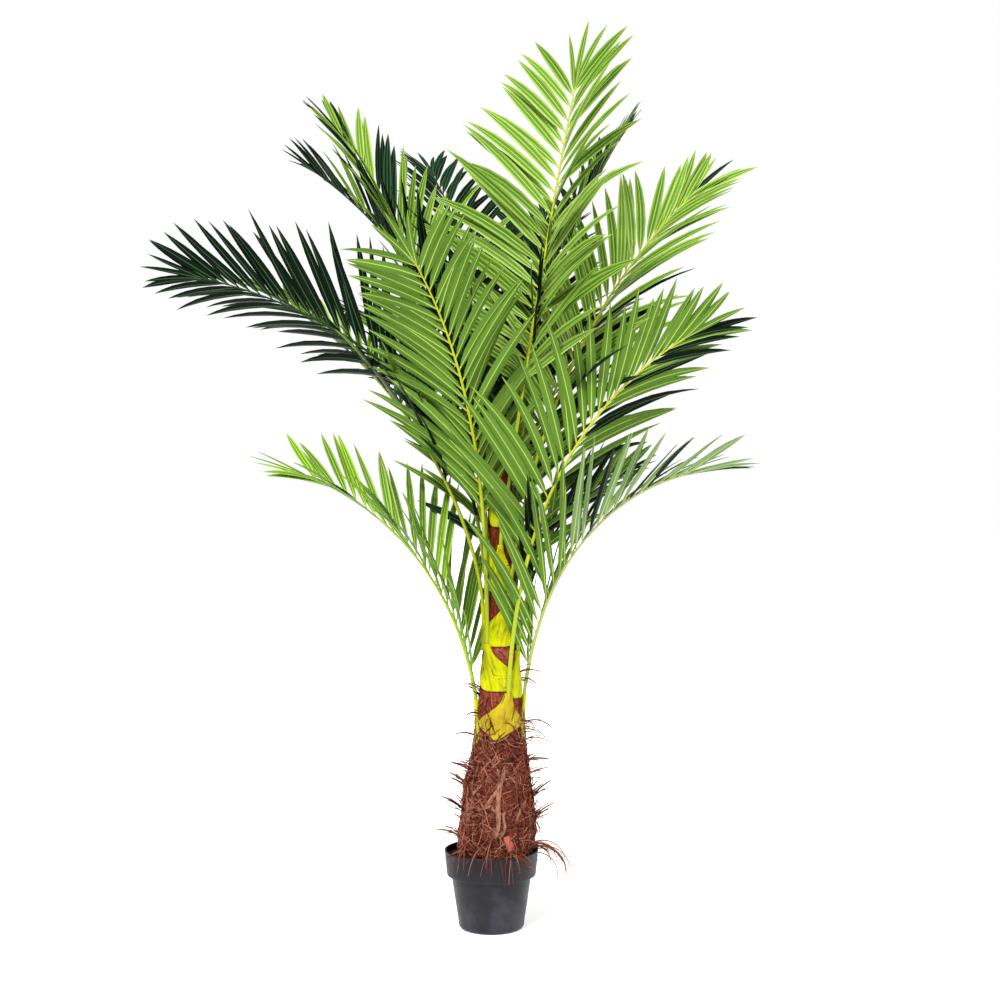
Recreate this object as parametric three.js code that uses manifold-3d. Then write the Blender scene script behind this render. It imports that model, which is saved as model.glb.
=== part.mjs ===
// Artificial date palm, 1.8 m tall, standing in a plastic nursery pot that is filled with cement.
// Millimetres, +Z up. The origin is the centre of the pot's flat underside, and the side that
// faces the room looks along -Y. Azimuths run from +X (0 degrees) over +Y (90 degrees).
//
// The palm grows in this order: pot, filling, trunk, then the stalk of each frond (the sheath
// that clasps the trunk and the rib that grows out of it), then the leaflets along each rib.

import * as THREE from "three";
import { mergeVertices } from "three/addons/utils/BufferGeometryUtils.js";
import Module from "manifold-3d";

const wasm = await Module();
wasm.setup();

// ---------------------------------------------------------------- driving dimensions

const GAP = 0.3; // clearance between pieces that meet
const MARGIN = 0.5; // how much a piece is grown before its neighbour is cut clear of it
const TRIM = 0.1; // features smaller than this are dropped from a sheath that has been cut

const POT = {
  height: 155,
  rimRadius: 93,
  band: 50, // height of the collar under the rim
  bandRadius: 88,
  shoulderRadius: 79,
  footRadius: 65,
  corner: 9,
  wall: 2.5,
  sides: 28,
};

const FILLING_TOP = 128;

// Trunk: the height of a ring, its radius, and how far its middle lies along X.
const TRUNK = [
  [128, 66, 8], [145, 69, 8.5], [190, 72, 10], [235, 68, 12], [290, 61, 14], [325, 55, 15],
  [355, 50, 16], [380, 47, 16.7], [450, 42, 17.5], [550, 35, 18.5], [650, 30, 19],
  [750, 27, 19], [850, 24, 18.5], [910, 20, 18], [945, 13, 17.5], [960, 5, 17.5],
];
const TRUNK_SIDES = 20;
const COIR_TOP = 370; // the lower trunk is wrapped in coir up to here
const COIR_RINGS = [168, 212, 262, 308]; // further rings that only add roughness
const COIR_ROUGHNESS = 2.6;

// Loose strands of coir: azimuth, height, length, lift, droop.
const STRANDS = [
  [10, 150, 110, 35, 125], [-25, 165, 85, 40, 100], [-60, 150, 60, 30, 70], [170, 170, 55, 45, 50],
  [200, 230, 60, 50, 30], [-150, 150, 45, 30, 60], [15, 205, 60, 45, 25], [5, 250, 55, 50, 20],
  [-20, 300, 50, 40, 30], [185, 280, 45, 45, 20], [25, 325, 60, 15, 30], [205, 315, 50, 30, 20],
  [90, 160, 60, 30, 70], [130, 200, 55, 40, 40], [60, 230, 60, 45, 40], [45, 300, 50, 50, 30],
  [110, 320, 45, 55, 30], [150, 260, 50, 45, 30], [-90, 300, 45, 50, 30], [-120, 230, 45, 45, 40],
];
const STRAND = { radius: 3.2, taper: 0.75, setIn: 10, steps: 3 };

// Fronds. heading: azimuth in which the frond leans out. stem: azimuth at which its rib leaves the
// trunk. seat: azimuth of its sheath's lower tip. height: where sheath turns into rib. lift: the
// rib's elevation at its foot. droop and power: how much of that it has lost along its length.
// twist: how far the blade is rolled about its rib. bare: share of the rib without leaflets.
// leaf: length of its longest leaflets. open and closing: the angle between leaflet and rib at the
// foot of the blade, and how much that narrows towards the tip. clasp: width of its sheath, over
// the widest.
const COLUMNS = [
  "heading", "stem", "seat", "height", "length", "lift", "droop", "power", "twist", "bare", "leaf",
  "open", "closing", "clasp", "tint",
];
const FRONDS = [
  [12, -92, -103, 757, 915, 82, 3, 1.0, -38, 0.34, 320, 61, 22, 1.0, "fresh"],
  [-128, -135, -97, 563, 770, 90, 44, 1.6, -40, 0.32, 270, 40, -5, 1.1, "fresh"],
  [182, -158, -150, 790, 790, 88, 76, 0.6, -44, 0.34, 270, 47, 30, 0.6, "dark"],
  [155, 172, 190, 640, 820, 82, 54, 0.8, 0, 0.3, 260, 44, 20, 0.55, "lime"],
  [165, -127, -105, 884, 740, 82, 46, 1.0, -20, 0.32, 220, 46, 26, 0.6, "dark"],
  [165, 160, 150, 775, 870, 76, 25, 2.6, 20, 0.4, 270, 34, 22, 0.55, "lime"],
  [118, 118, 112, 840, 780, 86, 44, 1.4, 0, 0.26, 235, 50, 28, 0.55, "dark"],
  [38, 20, 15, 820, 820, 84, 30, 1.2, 20, 0.32, 240, 52, 32, 0.55, "dark"],
  [12, -66, -100, 650, 900, 82, 38, 1.2, -45, 0.38, 290, 50, 40, 1.1, "fresh"],
  [-21, -70, -98, 468, 800, 86, 58, 1.4, 45, 0.32, 285, 50, 38, 1.05, "fresh"],
  [-12, 0, 8, 460, 580, 81, 69, 1.4, 10, 0.08, 310, 48, 6, 0.6, "pale"],
  [185, 185, 178, 450, 565, 80, 58, 1.15, 18, 0.08, 300, 40, -6, 0.6, "lime"],
  [75, 72, 70, 745, 820, 84, 46, 1.3, 0, 0.28, 260, 52, 32, 0.55, "dark"],
  [18, -33, -40, 549, 430, 84, 62, 1.3, 30, 0.26, 190, 44, 20, 0.55, "dark"],
  [132, 128, 130, 600, 780, 84, 60, 1.3, 0, 0.3, 260, 52, 32, 0.55, "dark"],
  [60, 46, 48, 600, 770, 84, 58, 1.3, 0, 0.3, 260, 52, 32, 0.55, "fresh"],
  [95, 90, 90, 520, 740, 84, 70, 1.3, 0, 0.3, 250, 52, 32, 0.55, "fresh"],
];

const SHEATH = {
  height: 92,
  thickness: 3,
  thickening: 1.5, // towards the rib
  edge: 0.6, // thickness at the sides, over that at the middle
  standoff: 0.6,
  rows: 6,
  columns: 6,
};
// Half the sheath's width in degrees, from its lower tip to the rib.
const SHEATH_WIDTH = [[0, 9], [0.14, 36], [0.3, 58], [0.5, 46], [0.75, 19], [1, 9]];

const RIB = {
  base: 7.5, // half width at the foot
  tip: 2.2,
  taper: 0.9,
  depth: 0.75, // over the width
  setIn: 26, // how far it reaches down into the sheath
  steps: 44,
  stalk: [0.25, 0.5, 0.75], // sections of the bare part, over its length
};

const LEAFLET = {
  pitch: 44, // along the rib, on either side
  closingPower: 1.5,
  raise: 30, // both rows rise out of the blade's plane by this much
  flattening: 0.6, // share of the raise that is lost at the tip
  shortening: 0.52, // how much of their length the last leaflets have lost
  shorteningPower: 1.6,
  first: 0.72, // length of the lowest leaflets, over the longest
  firstReach: 0.12, // where on the blade the longest ones start
  halfWidth: 14,
  narrowing: 0.3, // how much of their width the last leaflets have lost
  crowding: 0.4, // half width over the room between neighbours
  rootLength: 10, // along the rib
  rootNarrowing: 0.4,
  widest: 0.42,
  slenderness: 0.0115, // thickness over length
  thinnest: 2.4,
  outward: 0.12, // sideways bend of the tip, over the length
  sag: 0.00036, // fall of the tip, over the length squared
  sagPower: 2.5,
  endLength: 0.45, // of the leaflet at the tip, over the longest
  endWidth: 0.6,
};

// Small changes of a leaflet's angle and raise that are tried, in this order, where it would touch.
const NUDGES = [
  [0, 0], [5, 0], [-5, 0], [0, 7], [0, -7], [6, 8], [-6, 8], [6, -8], [-6, -8], [10, 0], [-10, 0],
  [0, 14], [0, -14], [10, 12], [-10, -12], [-10, 12], [10, -12], [15, 0], [-15, 0], [0, 20],
  [0, -20], [15, 15], [-15, 15], [15, -15], [-15, -15], [20, 0], [-20, 0],
];

const COLOURS = {
  pot: 0x2b2d35,
  filling: 0x3b342f,
  trunk: 0x7a3b2a,
  fresh: 0x6f9c32,
  lime: 0x93bd2c,
  dark: 0x143524,
  pale: 0x8fa878,
};

// ---------------------------------------------------------------- small helpers

const radians = THREE.MathUtils.degToRad;
const vector = (x, y, z) => new THREE.Vector3(x, y, z);
const UP = vector(0, 0, 1);

/** Unit vector in the ground plane at an azimuth in degrees. */
const around = (azimuth) => vector(Math.cos(radians(azimuth)), Math.sin(radians(azimuth)), 0);

/** The sum of vectors times factors: mix(a, 2, b, 3) is 2a + 3b. */
function mix(...terms) {
  const sum = vector(0, 0, 0);
  for (let i = 0; i < terms.length; i += 2) sum.addScaledVector(terms[i], terms[i + 1]);
  return sum;
}

/** Value at x of the broken line through rows, read from one of their columns. */
function along(rows, x, column = 1) {
  const last = rows.length - 1;
  if (x <= rows[0][0]) return rows[0][column];
  if (x >= rows[last][0]) return rows[last][column];
  const next = rows.findIndex((row) => row[0] > x);
  const [low, high] = [rows[next - 1], rows[next]];
  return THREE.MathUtils.mapLinear(x, low[0], high[0], low[column], high[column]);
}

/** A repeatable sequence of numbers between 0 and 1. */
function seeded(seed) {
  let state = seed;
  return () => {
    state = (state * 16807) % 2147483647;
    return state / 2147483647;
  };
}

const trunkRadius = (height) => along(TRUNK, height, 1);
const trunkMiddle = (height) => vector(along(TRUNK, height, 2), 0, height);

/** A closed solid from points and triangles, turned so that its faces point out. */
function solidFrom(points, triangles) {
  const vertices = new Float32Array(points.flatMap((point) => [point.x, point.y, point.z]));
  const build = (faces) => new wasm.Manifold(
    new wasm.Mesh({ numProp: 3, vertProperties: vertices, triVerts: new Uint32Array(faces.flat()) }),
  );
  const solid = build(triangles);
  if (solid.volume() > 0) return solid;
  return build(triangles.map(([a, b, c]) => [a, c, b]));
}

/** Rings of equally many points joined into a tube, with a flat fan over each end. */
function loft(rings) {
  const count = rings[0].length;
  const points = rings.flat();
  const triangles = [];
  for (let ring = 0; ring < rings.length - 1; ring += 1) {
    for (let i = 0; i < count; i += 1) {
      const j = (i + 1) % count;
      const [a, b] = [ring * count + i, ring * count + j];
      triangles.push([a, b, b + count], [a, b + count, a + count]);
    }
  }
  const top = (rings.length - 1) * count;
  for (let i = 1; i < count - 1; i += 1) {
    triangles.push([0, i + 1, i], [top, top + i, top + i + 1]);
  }
  return solidFrom(points, triangles);
}

/** A solid of revolution about Z from [radius, height] pairs. */
function turned(profile, sides) {
  const outline = profile.map(([radius, height]) => new THREE.Vector2(radius, height));
  const lathe = new THREE.LatheGeometry([...outline, outline[0]], sides).rotateX(Math.PI / 2);
  lathe.deleteAttribute("normal");
  lathe.deleteAttribute("uv");
  const merged = mergeVertices(lathe, 1e-3);
  const { position } = merged.attributes;
  const points = [];
  for (let i = 0; i < position.count; i += 1) {
    points.push(new THREE.Vector3().fromBufferAttribute(position, i));
  }
  const triangles = [];
  for (let i = 0; i < merged.index.count; i += 3) {
    const face = [0, 1, 2].map((corner) => merged.index.getX(i + corner));
    if (new Set(face).size === 3) triangles.push(face);
  }
  return solidFrom(points, triangles);
}

/** The largest of the bodies that a cut has left. */
function largest(solid) {
  return solid.decompose().reduce((best, body) => (body.volume() > best.volume() ? body : best));
}

/** A named mesh of one solid. */
function node(name, solid, colour, roughness) {
  const { vertProperties, triVerts } = solid.getMesh();
  const geometry = new THREE.BufferGeometry();
  geometry.setAttribute("position", new THREE.BufferAttribute(new Float32Array(vertProperties), 3));
  geometry.setIndex(new THREE.BufferAttribute(new Uint32Array(triVerts), 1));
  geometry.computeVertexNormals();
  const material = new THREE.MeshStandardMaterial({ color: colour, roughness, flatShading: true });
  const mesh = new THREE.Mesh(geometry, material);
  mesh.name = name;
  return mesh;
}

// ---------------------------------------------------------------- pot and filling

/** The [radius, height] points of a quarter round between the foot and the wall. */
function footCorner(inset) {
  const middle = POT.footRadius - POT.corner;
  const radius = POT.corner - inset;
  return [0, 45, 90].map((angle) => [
    middle + radius * Math.sin(radians(angle)),
    POT.corner - radius * Math.cos(radians(angle)),
  ]);
}

/** The outside of the pot, or a parallel line that far inside it, from the axis to a height. */
function potLine(inset) {
  const step = POT.height - POT.band;
  return [
    [0, inset],
    ...footCorner(inset),
    [POT.shoulderRadius - inset, step + inset],
    [POT.bandRadius - inset, step + inset],
    [POT.rimRadius - inset, POT.height],
  ];
}

function makePot() {
  return turned([...potLine(0), ...potLine(POT.wall).reverse()], POT.sides);
}

/** The cement: it fills the pot to below the rim and its top is flat. */
function makeFilling() {
  const inset = POT.wall + GAP;
  const whole = potLine(inset);
  const line = whole.slice(0, -1);
  const [low, high] = whole.slice(-2);
  const edge = THREE.MathUtils.mapLinear(FILLING_TOP, low[1], high[1], low[0], high[0]);
  return turned([...line, [edge, FILLING_TOP], [0, FILLING_TOP]], POT.sides);
}

// ---------------------------------------------------------------- trunk

/** The trunk from its flat cut on the cement to its tip, grown by a margin. */
function makeTrunkBody(margin) {
  const random = seeded(71);
  const heights = [...TRUNK.map((row) => row[0]), ...COIR_RINGS];
  heights.sort((a, b) => a - b);
  const rings = heights.map((height, level) => {
    const rough = height < COIR_TOP && level > 0 ? COIR_ROUGHNESS : 0;
    const lifted = level === 0 ? height + GAP - margin : height;
    const middle = trunkMiddle(lifted);
    return Array.from({ length: TRUNK_SIDES }, (_, side) => {
      const radius = trunkRadius(height) + rough * (random() * 2 - 1) + margin;
      return mix(middle, 1, around((360 * side) / TRUNK_SIDES), radius);
    });
  });
  return loft(rings);
}

/** One loose strand of coir: a three-sided spike that leaves the trunk and bends over. */
function makeStrand([azimuth, height, length, lift, droop]) {
  const out = around(azimuth);
  const side = around(azimuth + 90);
  const point = mix(trunkMiddle(height), 1, out, trunkRadius(height) - STRAND.setIn);
  const rings = [];
  for (let i = 0; i <= STRAND.steps; i += 1) {
    const share = i / STRAND.steps;
    const elevation = radians(lift - droop * share);
    const forward = mix(out, Math.cos(elevation), UP, Math.sin(elevation));
    const normal = mix(out, -Math.sin(elevation), UP, Math.cos(elevation));
    const radius = STRAND.radius * (1 - STRAND.taper * share);
    rings.push([90, 210, 330].map((angle) => mix(
      point, 1, side, radius * Math.cos(radians(angle)), normal, radius * Math.sin(radians(angle)),
    )));
    point.addScaledVector(forward, (length + STRAND.setIn) / STRAND.steps);
  }
  return loft(rings);
}

/** The trunk with its loose strands. */
function makeTrunk() {
  return makeTrunkBody(0).add(wasm.Manifold.union(STRANDS.map(makeStrand)));
}

// ---------------------------------------------------------------- fronds

/** The course of a frond's rib: points with their forward, side and normal directions. */
function ribCourse(frond) {
  const start = mix(
    trunkMiddle(frond.height), 1,
    around(frond.stem), trunkRadius(frond.height) + SHEATH.standoff + RIB.base * RIB.depth,
  );
  const out = around(frond.heading);
  const point = start.clone();
  const course = [];
  for (let i = 0; i <= RIB.steps; i += 1) {
    const share = i / RIB.steps;
    const elevation = radians(frond.lift - frond.droop * share ** frond.power);
    const forward = mix(out, Math.cos(elevation), UP, Math.sin(elevation));
    const normal = mix(out, -Math.sin(elevation), UP, Math.cos(elevation));
    const side = forward.clone().cross(normal);
    const turn = radians(frond.twist) * THREE.MathUtils.smoothstep(share, 0, frond.bare);
    course.push({
      share,
      point: point.clone(),
      forward,
      side: mix(side, Math.cos(turn), normal, Math.sin(turn)),
      normal: mix(side, -Math.sin(turn), normal, Math.cos(turn)),
    });
    point.addScaledVector(forward, frond.length / RIB.steps);
  }
  return course;
}

/** The place on a course at a share of its length. */
function placeOn(course, share) {
  const position = share * (course.length - 1);
  const index = Math.min(Math.floor(position), course.length - 2);
  const rest = position - index;
  const [low, high] = [course[index], course[index + 1]];
  const blend = (key) => mix(low[key], 1 - rest, high[key], rest);
  return {
    point: blend("point"),
    forward: blend("forward").normalize(),
    side: blend("side").normalize(),
    normal: blend("normal").normalize(),
  };
}

const ribWidth = (share) => RIB.tip + (RIB.base - RIB.tip) * (1 - share) ** RIB.taper;

/**
 * The three corners of the rib's section: flat above, keeled below. Grown by a margin, the corners
 * move out by twice as much, so that the slanting flanks keep that distance too.
 */
function ribSection({ point, side, normal }, width, margin) {
  const half = width + 2 * margin;
  return [
    mix(point, 1, side, half, normal, half * RIB.depth),
    mix(point, 1, side, -half, normal, half * RIB.depth),
    mix(point, 1, normal, -half * RIB.depth),
  ];
}

/** The rib's lowest sections, set into the sheath and turned to follow the trunk. */
function ribFoot(frond, course, margin) {
  const stem = around(frond.stem);
  const standoff = SHEATH.standoff + RIB.base * RIB.depth;
  const turned = { side: around(frond.stem - 90), normal: stem.clone().negate() };
  const lower = frond.height - RIB.setIn - margin;
  const below = mix(trunkMiddle(lower), 1, stem, trunkRadius(lower) + standoff);
  return [below, course[0].point].map(
    (point) => ribSection({ ...turned, point }, RIB.base, margin),
  );
}

/** The sheath: a plate bent round the trunk, pointed below and drawn in to the rib above. */
function makeSheath(frond, margin) {
  const { rows, columns } = SHEATH;
  const rings = [];
  for (let row = 0; row <= rows; row += 1) {
    const rise = row / rows;
    const height = frond.height - SHEATH.height * (1 - rise);
    const middle = trunkMiddle(height);
    const radius = trunkRadius(height);
    const azimuth = THREE.MathUtils.lerp(
      frond.seat, frond.stem, THREE.MathUtils.smoothstep(rise, 0, 1),
    );
    const grown = THREE.MathUtils.radToDeg(margin / radius);
    const half = frond.clasp * along(SHEATH_WIDTH, rise) + grown;
    const inner = [];
    const outer = [];
    for (let column = 0; column <= columns; column += 1) {
      const across = (2 * column) / columns - 1;
      const direction = around(azimuth + across * half);
      const thinned = 1 - (1 - SHEATH.edge) * across ** 2;
      const thickness = SHEATH.thickness * thinned + SHEATH.thickening * rise;
      inner.push(mix(middle, 1, direction, radius + SHEATH.standoff - margin));
      outer.push(mix(middle, 1, direction, radius + SHEATH.standoff + thickness + margin));
    }
    rings.push([...inner, ...outer.reverse()]);
  }
  return loft(rings);
}

/** Where a frond's leaflets sit: their share of the rib, and how far out on the blade that is. */
function leafletRows(frond) {
  const blade = 1 - frond.bare;
  const count = Math.round((frond.length * blade) / LEAFLET.pitch);
  return Array.from({ length: count }, (_, i) => {
    const reach = (i + 0.5) / count;
    return { reach, share: frond.bare + blade * reach };
  });
}

/**
 * The rib's sections in order, grown by a margin. The lower of the two that bound each leaflet's
 * root carries that leaflet's row.
 */
function ribSections(frond, course, rows, margin) {
  const sections = ribFoot(frond, course, margin).map((ring) => ({ ring }));
  const add = (share, row) => sections.push({
    ring: ribSection(placeOn(course, share), ribWidth(share), margin), row,
  });
  for (const share of RIB.stalk) add(frond.bare * share);
  rows.forEach((row) => {
    const root = LEAFLET.rootLength * (1 - LEAFLET.rootNarrowing * row.reach);
    const half = root / 2 / frond.length;
    add(row.share - half, row);
    add(row.share + half);
  });
  add(1);
  return sections;
}

/** The middle section and the tip of a leaflet: flat above and keeled below, like a folded blade. */
function leafletForm({ point, forward, normal }, direction, outward, length, halfWidth) {
  const at = (share) => mix(
    point, 1,
    direction, length * share,
    outward, length * LEAFLET.outward * share ** 2,
    UP, -LEAFLET.sag * length ** 2 * share ** LEAFLET.sagPower,
  );
  const widthwise = mix(forward, 1, direction, -forward.dot(direction)).normalize();
  const keel = direction.clone().cross(widthwise).normalize();
  if (keel.dot(normal) > 0) keel.negate();
  const thickness = Math.max(LEAFLET.thinnest, LEAFLET.slenderness * length);
  const middle = at(LEAFLET.widest);
  return {
    forward: mix(middle, 1, widthwise, halfWidth),
    backward: mix(middle, 1, widthwise, -halfWidth),
    keel: mix(middle, 1, keel, thickness),
    tip: at(1),
  };
}

/** A leaflet beside the rib, its angle and raise changed by a nudge. */
function sideLeaflet(frond, course, { reach, share }, hand, [moreAngle, moreRaise]) {
  const place = placeOn(course, share);
  const closed = frond.closing * reach ** LEAFLET.closingPower;
  const angle = radians(frond.open - closed + moreAngle);
  const raise = radians(LEAFLET.raise * (1 - LEAFLET.flattening * reach ** 2) + moreRaise);
  const outward = mix(place.side, hand);
  const sideways = mix(outward, Math.cos(raise), place.normal, Math.sin(raise));
  const direction = mix(place.forward, Math.cos(angle), sideways, Math.sin(angle));
  const grown = THREE.MathUtils.lerp(LEAFLET.first, 1, Math.min(1, reach / LEAFLET.firstReach));
  const shortened = 1 - LEAFLET.shortening * reach ** LEAFLET.shorteningPower;
  const length = frond.leaf * shortened * grown;
  const room = LEAFLET.crowding * LEAFLET.pitch * Math.sin(angle);
  const halfWidth = Math.min(LEAFLET.halfWidth * (1 - LEAFLET.narrowing * reach), room);
  return leafletForm(place, direction, outward, length, halfWidth);
}

/** The leaflet that ends the rib and carries on in its direction. */
function endLeaflet(frond, course) {
  const place = placeOn(course, 1);
  const length = frond.leaf * LEAFLET.endLength;
  const halfWidth = LEAFLET.halfWidth * LEAFLET.endWidth;
  const flat = { ...place, forward: place.side };
  return leafletForm(flat, place.forward, vector(0, 0, 0), length, halfWidth);
}

/** The faces of a leaflet that stands on a three-cornered root: its flanks, then its point. */
function leafletFaces(root, middle, tip) {
  return [0, 1, 2].flatMap((i) => {
    const j = (i + 1) % 3;
    return [
      [root[i], root[j], middle[j]], [root[i], middle[j], middle[i]], [middle[i], middle[j], tip],
    ];
  });
}

/** A leaflet as a solid of its own, to try whether its place is free. */
function looseLeaflet(root, middle, tip) {
  return solidFrom([...root, ...middle, tip], [
    [0, 2, 1], ...leafletFaces([0, 1, 2], [3, 4, 5], 6),
  ]);
}

/** Whether two boxes come nearer than a distance. */
function boxesMeet(a, b, distance) {
  return [0, 1, 2].every(
    (axis) => a.min[axis] - distance < b.max[axis] && b.min[axis] - distance < a.max[axis],
  );
}

/** Everything that leaflets have to keep clear of, and the test against it. */
class Surroundings {
  constructor() {
    this.obstacles = [];
  }

  add(solid, owner, row) {
    this.obstacles.push({ solid, owner, row, box: solid.boundingBox() });
  }

  isFree(solid, owner, row) {
    const box = solid.boundingBox();
    return this.obstacles.every((other) => {
      const own = other.owner === owner;
      if (own && (other.row === undefined || other.row === row)) return true;
      if (!boxesMeet(box, other.box, MARGIN)) return true;
      return solid.minGap(other.solid, 1) > MARGIN;
    });
  }
}

/** The order in which a leaflet's three long edges follow each other round it, on either side. */
const EDGES = { 1: ["keel", "backward", "forward"], [-1]: ["backward", "keel", "forward"] };

/** The corners of the rib's face that a leaflet stands on, in the order of its edges. */
function leafletRoot(sections, index, hand) {
  const [here, next] = [sections[index].ring, sections[index + 1].ring];
  const side = hand > 0 ? 0 : 1;
  const corners = { backward: here[side], forward: next[side], keel: here[2] };
  return EDGES[hand].map((edge) => corners[edge]);
}

/** Finds a free form for each leaflet of a frond. What finds none is left out. */
function placeLeaflets(frond, surroundings) {
  const { course, sections, index: owner } = frond;
  sections.forEach((section, at) => {
    if (!section.row) return;
    section.leaflets = {};
    for (const hand of [1, -1]) {
      const root = leafletRoot(sections, at, hand);
      for (const nudge of NUDGES) {
        const form = sideLeaflet(frond, course, section.row, hand, nudge);
        const solid = looseLeaflet(root, EDGES[hand].map((edge) => form[edge]), form.tip);
        if (surroundings.isFree(solid, owner, section.row)) {
          section.leaflets[hand] = form;
          surroundings.add(solid, owner, section.row);
          break;
        }
      }
    }
  });
}

/** Rib and leaflets of a frond as one closed surface, each leaflet grown out of the rib's flank. */
function makeBlade(frond) {
  const { sections } = frond;
  const points = sections.flatMap((section) => section.ring);
  const faces = [];
  const grow = (root, middle, tip) => {
    const first = points.length;
    points.push(...middle, tip);
    faces.push(...leafletFaces(root, [first, first + 1, first + 2], first + 3));
  };
  for (let i = 0; i < sections.length - 1; i += 1) {
    const [a, b, keel] = [3 * i, 3 * i + 1, 3 * i + 2];
    const [nextA, nextB, nextKeel] = [a + 3, b + 3, keel + 3];
    const leaflets = sections[i].leaflets ?? {};
    const roots = { 1: [keel, a, nextA], [-1]: [b, keel, nextB] };
    faces.push([a, b, nextB], [a, nextB, nextA]);
    faces.push([keel, nextA, nextKeel], [keel, nextKeel, nextB]);
    for (const hand of [1, -1]) {
      const form = leaflets[hand];
      if (form) grow(roots[hand], EDGES[hand].map((edge) => form[edge]), form.tip);
      else faces.push(roots[hand]);
    }
  }
  const end = 3 * (sections.length - 1);
  const last = frond.endForm;
  faces.push([0, 2, 1]);
  grow([end, end + 1, end + 2], [last.forward, last.backward, last.keel], last.tip);
  return solidFrom(points, faces);
}

/** The rib without leaflets, grown by a margin. */
function ribSpace(frond, margin) {
  const sections = ribSections(frond, frond.course, leafletRows(frond), margin);
  return loft(sections.map((section) => section.ring));
}

/**
 * Grows all fronds. A sheath is cut clear of the trunk, of every other rib and of the sheaths
 * before it. Leaflets keep clear of everything but their own rib.
 */
function growFronds(trunk) {
  const surroundings = new Surroundings();
  surroundings.add(trunk, -1);
  const fronds = FRONDS.map((row, index) => {
    const frond = Object.fromEntries(COLUMNS.map((column, i) => [column, row[i]]));
    const course = ribCourse(frond);
    const sections = ribSections(frond, course, leafletRows(frond), 0);
    return { ...frond, index, course, sections, endForm: endLeaflet(frond, course) };
  });
  const ribSpaces = fronds.map((frond) => ribSpace(frond, MARGIN));
  const sheathSpaces = fronds.map((frond) => makeSheath(frond, MARGIN));
  fronds.forEach((frond, index) => {
    surroundings.add(ribSpaces[index], index);
    surroundings.add(sheathSpaces[index], index);
    const { endForm: end, sections } = frond;
    const root = sections[sections.length - 1].ring;
    const solid = looseLeaflet(root, [end.forward, end.backward, end.keel], end.tip);
    surroundings.add(solid, index, "end");
  });
  fronds.forEach((frond) => placeLeaflets(frond, surroundings));

  const trunkSpace = makeTrunkBody(GAP);
  return fronds.map((frond, index) => {
    const neighbours = [
      ...ribSpaces.filter((_, other) => other !== index), ...sheathSpaces.slice(0, index),
    ];
    const sheath = neighbours.reduce(
      (rest, space) => rest.subtract(space), makeSheath(frond, 0),
    ).simplify(TRIM);
    return { ...frond, solid: largest(makeBlade(frond).add(sheath).subtract(trunkSpace)) };
  });
}

// ---------------------------------------------------------------- assembly

const pot = makePot();
const filling = makeFilling();
const trunk = makeTrunk();
const fronds = growFronds(trunk);

const palm = new THREE.Group();
palm.add(node("pot", pot, COLOURS.pot, 0.55));
palm.add(node("pot_filling", filling, COLOURS.filling, 0.95));
palm.add(node("trunk", trunk, COLOURS.trunk, 0.95));
for (const frond of fronds) {
  const name = `frond_${String(frond.index + 1).padStart(2, "0")}`;
  palm.add(node(name, frond.solid, COLOURS[frond.tint], 0.5));
}

export default palm;
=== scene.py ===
"""Artificial date palm in a nursery pot.

The palm is dressed over its solid model, which fixes every size and place. Lengths inside the
functions are millimetres, as in the model, and become metres when a piece is made. Azimuths run
from +X (0 degrees) over +Y (90 degrees), and the side that faces the room looks along -Y.

Every piece is made of closed tubes: rings of points carried along a path, with a point that closes
either end. Pot, filling and trunk are one tube each, turned about an upright axis. A sheath, a
rachis, a leaflet and a coir fibre are slimmer ones.
"""

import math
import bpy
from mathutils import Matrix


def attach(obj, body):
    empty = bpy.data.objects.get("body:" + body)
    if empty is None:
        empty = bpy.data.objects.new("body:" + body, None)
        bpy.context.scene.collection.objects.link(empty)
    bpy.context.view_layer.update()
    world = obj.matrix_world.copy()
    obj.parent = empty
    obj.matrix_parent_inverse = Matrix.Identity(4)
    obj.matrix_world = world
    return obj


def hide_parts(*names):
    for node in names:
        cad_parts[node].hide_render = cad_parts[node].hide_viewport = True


bl_info = {
    "name": "Artificial Date Palm",
    "version": (1, 0, 0),
    "blender": (4, 5, 0),
    "location": "3D View > Sidebar > Palm",
    "description": "Builds a potted artificial date palm over its solid model",
    "category": "Object",
}

import bpy
import numpy as np

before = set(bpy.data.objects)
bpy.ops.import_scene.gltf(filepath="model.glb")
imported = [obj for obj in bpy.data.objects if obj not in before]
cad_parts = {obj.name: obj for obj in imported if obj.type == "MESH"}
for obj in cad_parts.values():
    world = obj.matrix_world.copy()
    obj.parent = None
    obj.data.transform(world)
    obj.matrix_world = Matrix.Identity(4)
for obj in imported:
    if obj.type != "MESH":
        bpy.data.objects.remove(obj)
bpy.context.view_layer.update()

# ---- sizes shared with the solids

POT = {
    "height": 155, "rim": 93, "band": 50, "band_radius": 88, "shoulder": 79, "foot": 65,
    "corner": 9, "wall": 2.5,
}
FILLING_TOP = 128
GAP = 0.3

# Trunk: the height of a ring, its radius, and how far its middle lies along X.
TRUNK = np.array([
    (128, 66, 8), (145, 69, 8.5), (190, 72, 10), (235, 68, 12), (290, 61, 14), (325, 55, 15),
    (355, 50, 16), (380, 47, 16.7), (450, 42, 17.5), (550, 35, 18.5), (650, 30, 19),
    (750, 27, 19), (850, 24, 18.5), (910, 20, 18), (945, 13, 17.5), (960, 5, 17.5),
])
TRUNK_TOP = 960
COIR_TOP = 370

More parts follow.
